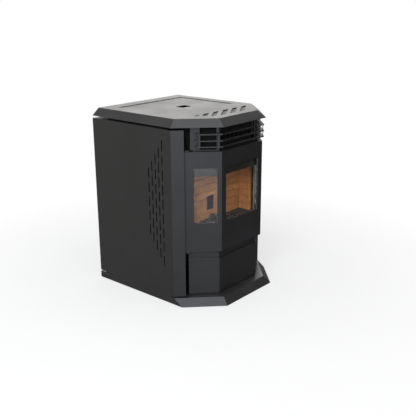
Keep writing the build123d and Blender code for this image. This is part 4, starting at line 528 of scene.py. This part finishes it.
def brick_board(name, along, along_shift, up_shift):
    """Bricks laid along one axis, so that the stain follows the moulded joints."""
    material, tree, shader = start_material(name)
    axes = add_node(tree, "ShaderNodeSeparateXYZ", {0: object_place(tree)}).outputs
    across = calc(tree, "ADD", axes[along], along_shift)
    height = calc(tree, "ADD", axes["Z"], up_shift)
    place = add_node(tree, "ShaderNodeCombineXYZ", {0: across, 1: height}).outputs[0]
    clay = use_group(tree, moulded_bricks, place=place)
    dust_over(tree, shader, clay["Color"], amount=0.5)
    plug(tree, shader, roughness=clay["Roughness"])
    bump(tree, shader, clay["Height"], depth=0.0006)
    return material


lining_low_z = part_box("rear_brick_panel")[0].z
first_side_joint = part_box("side_brick_panels")[1].y - brick_length / 4
rear_bricks = brick_board("rear_bricks", "X", brick_length / 2, -lining_low_z)
side_bricks = brick_board("side_bricks", "Y", brick_length / 2 - first_side_joint, -lining_low_z)

dress("rear_brick_panel", rear_bricks, edge=0.0009)
dress("side_brick_panels", side_bricks, edge=0.0009)

# ---------------------------------------------------------------- Burn pot and igniter
# The pot is an iron casting that lifts out of its holder, drilled for air and dusted with pale
# ash. The igniter is a stainless cartridge heater, blued at its hot end.

pot_ash_color = (0.42, 0.40, 0.37, 1)


def cast_iron(name, color, ash):
    """Gritty cast iron with pale ash lying on it."""
    material, tree, shader = start_material(name)
    coat = use_group(tree, sprayed_coat, color=color, roughness=0.8, mottle=0.3)
    dust_over(tree, shader, coat["Color"], ash, pot_ash_color)
    plug(tree, shader, roughness=coat["Roughness"])
    grit = noise(tree, object_place(tree), size=0.0018, detail=4)
    bump(tree, shader, grit, depth=0.0004)
    return material


def tinted_steel(name, color, tint_color, roughness=0.3):
    """Stainless steel with drawing marks and clouds of heat tint."""
    material, tree, shader = start_material(name, metallic=1.0)
    metal = use_group(tree, plated_steel, color=color, roughness=roughness, cloud_size=0.02)
    cloud = noise(tree, object_place(tree), size=0.05, detail=3)
    tinted = remap(tree, cloud, 0.4, 0.65, to_high=0.7)
    plug(
        tree,
        shader,
        base_color=blend_color(tree, tinted, metal["Color"], tint_color),
        roughness=metal["Roughness"],
    )
    bump(tree, shader, metal["Height"], depth=0.00001)
    return material


pot_iron = cast_iron("pot_iron", (0.035, 0.033, 0.031, 1), ash=0.75)
heater_steel = tinted_steel("heater_steel", (0.5, 0.48, 0.45, 1), (0.3, 0.22, 0.3, 1))

dress("burn_pot", pot_iron, edge=0.0007)
dress("igniter", heater_steel, edge=0.0003)

# ---------------------------------------------------------------- Heat exchanger
# A shallow welded box on the firebox with eight tubes through it, which carry room air past the
# smoke. The tube ends look out between the louvres.

# A near-black, low-gloss copy of the heat paint, darker than the firebox's, as painted shade in the
# gaps between the louvres.
shade_darkened_heat_paint = heat_paint(
    "shade_darkened_heat_paint",
    (0.008, 0.008, 0.0078, 1),
    (0.018, 0.0175, 0.017, 1),
    roughness=0.85,
    soot=0.4,
    gloss=0.12,
)

dress("heat_exchanger", shade_darkened_heat_paint, edge=0.0005)
dress("exchanger_tubes", shade_darkened_heat_paint, edge=0.0003)

# ---------------------------------------------------------------- Smoke path
# A folded channel takes the smoke down behind the firebox to a drum-shaped blower, and a
# galvanised spigot leads it out through the rear panel.


def motor_lacquer(name, color):
    """Black insulating lacquer over laminations."""
    material, tree, shader = start_material(name)
    coat = use_group(tree, sprayed_coat, color=color, roughness=0.38, mottle=0.3)
    film = dust_over(tree, shader, coat["Color"], amount=0.5)
    dull(tree, shader, coat["Roughness"], film, amount=0.4)
    stack = add_node(
        tree,
        "ShaderNodeTexWave",
        {"Vector": object_place(tree), "Scale": 300.0, "Distortion": 0.4},
        bands_direction="X",
    ).outputs[1]
    bump(tree, shader, stack, depth=0.00008)
    return material


black_lacquer = motor_lacquer("black_lacquer", (0.03, 0.03, 0.032, 1))

dress("exhaust_channel", matt_heat_paint)
dress("exhaust_housing", zinc_sheet)
dress("exhaust_impeller", heater_steel, edge=0.0003)
dress("exhaust_motor", black_lacquer)
dress("flue_outlet", zinc_sheet, edge=0.0004)

# ---------------------------------------------------------------- Room air path
# A second blower, with a squirrel-cage wheel, draws air through the rear panel's slots and
# drives it up a folded duct into the heat exchanger.

dress("convection_housing", zinc_sheet)
dress("convection_impeller", zinc_sheet, edge=0.0)
dress("convection_motor", black_lacquer)
dress("convection_duct", zinc_sheet)

# ---------------------------------------------------------------- Pellet feed
# The auger turns in a sloped tube under the hopper and drops pellets down a stainless chute,
# whose mouth shows as the grey opening in the brick lining.

chute_steel = tinted_steel("chute_steel", (0.36, 0.37, 0.36, 1), (0.24, 0.25, 0.23, 1), 0.42)

dress("auger_tube", zinc_sheet, edge=0.0004)
dress("auger_screw", heater_steel, edge=0.0)
dress("auger_motor", black_lacquer)
dress("drop_chute", chute_steel, edge=0.0004)

# ---------------------------------------------------------------- Hopper
# A folded and seam-welded bin of galvanised sheet under the lid. Its funnel leads the pellets
# down to the auger's tube.

dress("hopper_bin", zinc_sheet)

# ---------------------------------------------------------------- Ash drawer
# A galvanised pan on two folded runners, spot welded behind the bay-shaped lower front panel,
# which is painted with the casing.

dress("drawer_runners", zinc_sheet)
dress("ash_pan", zinc_sheet, edge=0.0004)
dress("ash_drawer_front", satin_black, edge=0.0008)

# ---------------------------------------------------------------- Door
# A bay-shaped steel frame, welded at both corners and painted, with three panes of ceramic
# glass held from behind on glass-fibre tape by screwed retainers.


def show(tree, surface):
    """Makes a shader the one that the material shows."""
    tree.links.new(surface, find_node(tree, "OUTPUT_MATERIAL").inputs["Surface"])


def mix_shaders(tree, amount, first, second):
    """The first shader, going over to the second by an amount or a mask."""
    return add_node(tree, "ShaderNodeMixShader", {0: amount, 1: first, 2: second}).outputs[0]


def ceramic_glass(name, color):
    """Clear glass-ceramic, faintly smeared. Lamps reach the firebox through it."""
    material, tree, shader = start_material(
        name, transmission_weight=1.0, base_color=color, specular_IOR_level=0.28
    )
    smear = noise(tree, object_place(tree), size=0.05, detail=3)
    plug(tree, shader, roughness=remap(tree, smear, 0.4, 0.8, to_high=0.05))
    through = add_node(tree, "ShaderNodeBsdfTransparent", {"Color": color})
    shadow = add_node(tree, "ShaderNodeLightPath").outputs["Is Shadow Ray"]
    show(tree, mix_shaders(tree, shadow, shader.outputs[0], through.outputs[0]))
    return material


def fibre_tape(name, color, weave):
    """Woven glass fibre, crossing threads of about weave metres, with painted shade between the
    threads.
    """
    material, tree, shader = start_material(name, sheen_weight=0.3, roughness=0.95)
    place = object_place(tree)
    band_pitch = 0.3            # a Wave texture's bands are this far apart at a scale of 1
    threads = [
        add_node(
            tree,
            "ShaderNodeTexWave",
            {"Vector": place, "Scale": band_pitch / weave, "Distortion": 1.5, "Detail": 1.0},
            bands_direction=direction,
        ).outputs[1]
        for direction in ("X", "Z")
    ]
    relief = calc(tree, "MAXIMUM", *threads)
    # Painted shade: darker where the threads dip, a little lighter on their crowns.
    weave_shade = remap(tree, relief, 0.0, 1.0, to_low=0.6, to_high=1.05)
    fuzz = remap(tree, noise(tree, place, size=0.004, detail=3), 0.3, 0.7, to_low=0.8, to_high=1.1)
    plug(tree, shader, base_color=shade_color(tree, color, product(tree, weave_shade, fuzz)))
    bump(tree, shader, relief, depth=0.0003)
    return material


pane_glass = ceramic_glass("ceramic_glass", (0.90, 0.88, 0.82, 1))
tape_fibre = fibre_tape("tape_fibre", (0.30, 0.29, 0.27, 1), weave=0.0016)

dress("door_frame", satin_black, edge=0.0009)
dress("front_glass", pane_glass, edge=0.0)
dress("side_glasses", pane_glass, edge=0.0)
dress("glass_gaskets", tape_fibre, edge=0.0)
dress("glass_retainers", bright_zinc, edge=0.0003)
dress("retainer_screws", bright_zinc, edge=0.0003)
dress("door_gasket", tape_fibre, edge=0.002)

# ---------------------------------------------------------------- Door hinges, handle and latch
# Flat steel ears welded to the front frame carry two pins. The handle is a bar welded to a
# turned shaft through the door, and its cam hooks into the right jamb.

dress("door_hinge_brackets", satin_black, edge=0.0005)
dress("door_handle", satin_black, edge=0.0005)
dress("latch_cam", bright_zinc, edge=0.0004)

# ---------------------------------------------------------------- Louvres
# Three blades of 2 mm sheet with a turned-down lip, mitred round the bay. Upright braces tie
# them together, and brackets at the ends and corners weld them to the front frame. They are
# painted with the casing.

dress("louvre_grille", satin_black, edge=0.0005)

# ---------------------------------------------------------------- Casing
# Side panels folded from 1.5 mm sheet, each with a slanting field of air slots, and a rear
# panel screwed to the posts.

dress("left_side_panel", satin_black)
dress("right_side_panel", satin_black)
dress("back_panel", satin_black, edge=0.0004)
dress("casing_screws", bright_zinc, edge=0.0004)

# ---------------------------------------------------------------- Mains inlet
# One moulded black thermoplastic insert holds the three-pin inlet and a rocker switch.
# It is pushed into a cut-out in the rear panel, up to its rim.


def moulded_plastic(name, color, roughness, grain=0.0008):
    """Injection moulded plastic with an eroded texture."""
    material, tree, shader = start_material(name)
    place = object_place(tree)
    spark = noise(tree, place, size=grain, detail=2)
    cloud = noise(tree, place, size=0.03, detail=2)
    shade = remap(tree, cloud, 0.3, 0.7, to_low=0.92, to_high=1.08)
    dust_over(tree, shader, shade_color(tree, color, shade), amount=0.15)
    rough_swing = 0.06
    smooth, rough = roughness - rough_swing, roughness + rough_swing
    plug(tree, shader, roughness=remap(tree, spark, 0.3, 0.7, smooth, rough))
    bump(tree, shader, spark, depth=0.00003)
    return material


black_plastic = moulded_plastic("black_plastic", (0.022, 0.022, 0.024, 1), 0.45)

dress("power_inlet", black_plastic, edge=0.0005)
dress("power_switch", black_plastic, edge=0.0005)

# ---------------------------------------------------------------- Controls
# A moulded fascia behind a cut-out in the right side panel, with a smoked window over the
# display, three soft buttons and the circuit board on standoffs.

board_green = (0.012, 0.075, 0.03, 1)
track_green = (0.03, 0.14, 0.05, 1)


def circuit_board(name):
    """Green solder mask with copper tracks under it."""
    material, tree, shader = start_material(name, coat_weight=0.4)
    tracks = add_node(
        tree,
        "ShaderNodeTexVoronoi",
        {"Vector": object_place(tree), "Scale": 220.0},
        distance="MANHATTAN",
    )
    track = remap(tree, tracks.outputs["Distance"], 0.32, 0.36)
    plug(
        tree,
        shader,
        base_color=blend_color(tree, track, board_green, track_green),
        roughness=remap(tree, track, 0.0, 1.0, to_low=0.35, to_high=0.5),
    )
    bump(tree, shader, track, depth=0.00004)
    return material


grey_plastic = moulded_plastic("grey_plastic", (0.2, 0.205, 0.21, 1), 0.5)
smoked_plastic = moulded_plastic("smoked_plastic", (0.012, 0.014, 0.017, 1), 0.14, grain=0.02)
green_board = circuit_board("green_board")

dress("control_panel", black_plastic, edge=0.0005)
dress("display_window", smoked_plastic, edge=0.0004)
dress("control_board", green_board, edge=0.0)
for button in ("button_power", "button_down", "button_up"):
    dress(button, grey_plastic, edge=0.0)

# ---------------------------------------------------------------- Top cover and lid
# The cover is one 2 mm pressing with a sloped skirt and six slanted vents. The hopper lid lies
# just below its face, hung on a piano hinge, and closes on a ring of black sponge.

# Painted shade: the colour of the sponge's open cells.
cell_shade_color = (0.008, 0.008, 0.008, 1)


def sponge(name, color):
    """Soft sponge, with painted shade in its open cells."""
    material, tree, shader = start_material(name)
    cells = add_node(tree, "ShaderNodeTexVoronoi", {"Vector": object_place(tree), "Scale": 900.0})
    skin = remap(tree, cells.outputs["Distance"], 0.1, 0.5)
    plug(
        tree,
        shader,
        base_color=blend_color(tree, skin, cell_shade_color, color),
        roughness=remap(tree, skin, 0.0, 1.0, to_low=0.95, to_high=0.8),
    )
    bump(tree, shader, skin, depth=0.0003)
    return material


black_sponge = sponge("black_sponge", (0.03, 0.03, 0.031, 1))

dress("top_cover", satin_black, edge=0.0)
dress("hopper_lid", satin_black, edge=0.0006)
dress("lid_hinge_fixed", satin_black, edge=0.0003)
dress("lid_hinge_moving", satin_black, edge=0.0003)
dress("lid_gasket", black_sponge, edge=0.002)

# ---------------------------------------------------------------- Studio
# A pale floor that fades to white, soft boxes at the left and above, and a room whose pale
# sides show as gloss on the paint. The camera stands where the photograph was taken from, as
# worked out from the photograph's straight edges.

camera_place = Vector((-2.21895, -1.98015, 1.28905))
camera_yaw = radians(-49.534)
camera_down = radians(17.677)
camera_roll = radians(-0.216)

camera_data = bpy.data.cameras.new("camera")
camera_data.lens = 57.64
camera_data.sensor_width = 36.0
camera = bpy.data.objects.new("camera", camera_data)
camera.matrix_world = (
    Matrix.Translation(camera_place)
    @ Matrix.Rotation(camera_yaw, 4, "Z")
    @ Matrix.Rotation(pi / 2 - camera_down, 4, "X")
    @ Matrix.Rotation(camera_roll, 4, "Z")
)
bpy.context.scene.collection.objects.link(camera)
bpy.context.scene.camera = camera

white = (1, 1, 1, 1)


def backdrop_rays(tree):
    """Masks of the rays that see the backdrop directly or through glass, and by reflection."""
    path = add_node(tree, "ShaderNodeLightPath").outputs
    first_bounce = 0.5          # depths are whole numbers
    unscattered = calc(tree, "LESS_THAN", path["Diffuse Depth"], first_bounce)
    reflected = calc(tree, "GREATER_THAN", path["Glossy Depth"], first_bounce)
    mirrored = product(tree, reflected, unscattered)
    through = product(tree, path["Is Transmission Ray"], unscattered)
    either = calc(tree, "MAXIMUM", path["Is Camera Ray"], through)
    seen = product(tree, either, calc(tree, "SUBTRACT", 1.0, mirrored))
    return seen, calc(tree, "MAXIMUM", path["Is Glossy Ray"], mirrored)


floor_radius = 3.0
fade_start = 0.7
fade_end = 1.5
floor_grey = (0.93, 0.93, 0.93, 1)
floor_light_grey = (0.95, 0.95, 0.95, 1)
floor_lift = 0.6            # how far the floor is lifted to white where it is seen
floor_thin = 0.95           # how far gloss sees the room through the floor


def studio_floor():
    """A round pale floor that fades out into the white of the background."""
    mesh = bpy.data.meshes.new("floor")
    shape = bmesh.new()
    bmesh.ops.create_circle(shape, cap_ends=True, radius=floor_radius, segments=96)
    shape.to_mesh(mesh)
    shape.free()
    floor = bpy.data.objects.new("floor", mesh)
    bpy.context.scene.collection.objects.link(floor)
    material, tree, shader = start_material("pale_floor", roughness=0.9, specular_IOR_level=0.0)
    place = object_place(tree)
    cloudy = remap(tree, noise(tree, place, size=0.3, detail=2), 0.3, 0.7)
    plug(tree, shader, base_color=blend_color(tree, cloudy, floor_grey, floor_light_grey))
    seen, mirrored = backdrop_rays(tree)
    lift = product(tree, calc(tree, "MAXIMUM", seen, mirrored), floor_lift)
    glow = add_node(tree, "ShaderNodeEmission", {"Color": white, "Strength": 1.0})
    lifted = mix_shaders(tree, lift, shader.outputs[0], glow.outputs[0])
    distance = add_node(tree, "ShaderNodeVectorMath", {0: place}, operation="LENGTH")
    far = remap(tree, distance.outputs["Value"], fade_start, fade_end)
    unseen = calc(tree, "MAXIMUM", far, product(tree, mirrored, floor_thin))
    clear = add_node(tree, "ShaderNodeBsdfTransparent")
    show(tree, mix_shaders(tree, unseen, lifted, clear.outputs[0]))
    mesh.materials.append(material)


dim_corner = (0.035, 0.035, 0.035, 1)
even_light = (0.5, 0.5, 0.5, 1)

# The room's pale sides: the direction to each, the cosine at its edge, and its brightness
pale_sides = [
    ((0.66, 0.58, 0.45), 0.8, (2.35, 2.32, 2.27, 1)),
    ((-0.71, 0.63, 0.3), 0.5, (0.6, 0.58, 0.53, 1)),
    ((-0.62, -0.70, 0.75), 0.35, (2.3, 2.38, 2.6, 1)),
]
full_cosine = 0.95          # a pale side has its whole brightness from here to its middle


def studio_world():
    """White where it is seen, even light on the floor, and pale sides round a dim room in gloss."""
    world = bpy.data.worlds.new("studio")
    bpy.context.scene.world = world
    world.use_nodes = True
    tree = world.node_tree
    seen, mirrored = backdrop_rays(tree)
    toward = add_node(tree, "ShaderNodeTexCoord").outputs["Generated"]
    room = dim_corner
    for direction, edge_cosine, color in pale_sides:
        amount = add_node(
            tree,
            "ShaderNodeMapRange",
            {
                "Value": cosine(tree, toward, Vector(direction).normalized()),
                "From Min": edge_cosine,
                "From Max": full_cosine,
            },
            interpolation_type="SMOOTHSTEP",
        ).outputs[0]
        room = blend_color(tree, amount, room, color)
    unseen = blend_color(tree, mirrored, even_light, room)
    plug(tree, find_node(tree, "BACKGROUND"), color=blend_color(tree, seen, unseen, white))


light_aim = Vector((0, 0, 0.5))


def soft_box(name, place, size, power, color=(1, 1, 1)):
    """A square lamp with a diffuser, aimed at the middle of the stove."""
    data = bpy.data.lights.new(name, "AREA")
    data.shape = "SQUARE"
    data.size = size
    data.energy = power
    data.color = color
    lamp = bpy.data.objects.new(name, data)
    lamp.location = place
    lamp.rotation_euler = (light_aim - Vector(place)).to_track_quat("-Z", "Y").to_euler()
    bpy.context.scene.collection.objects.link(lamp)


studio_floor()
studio_world()
soft_box("left_soft_box", (-3.4, -1.6, 2.2), size=2.0, power=110, color=(0.93, 0.96, 1.0))
soft_box("top_soft_box", (0.0, 0.0, 3.6), size=2.5, power=22)

bpy.context.scene.view_settings.view_transform = "Standard"
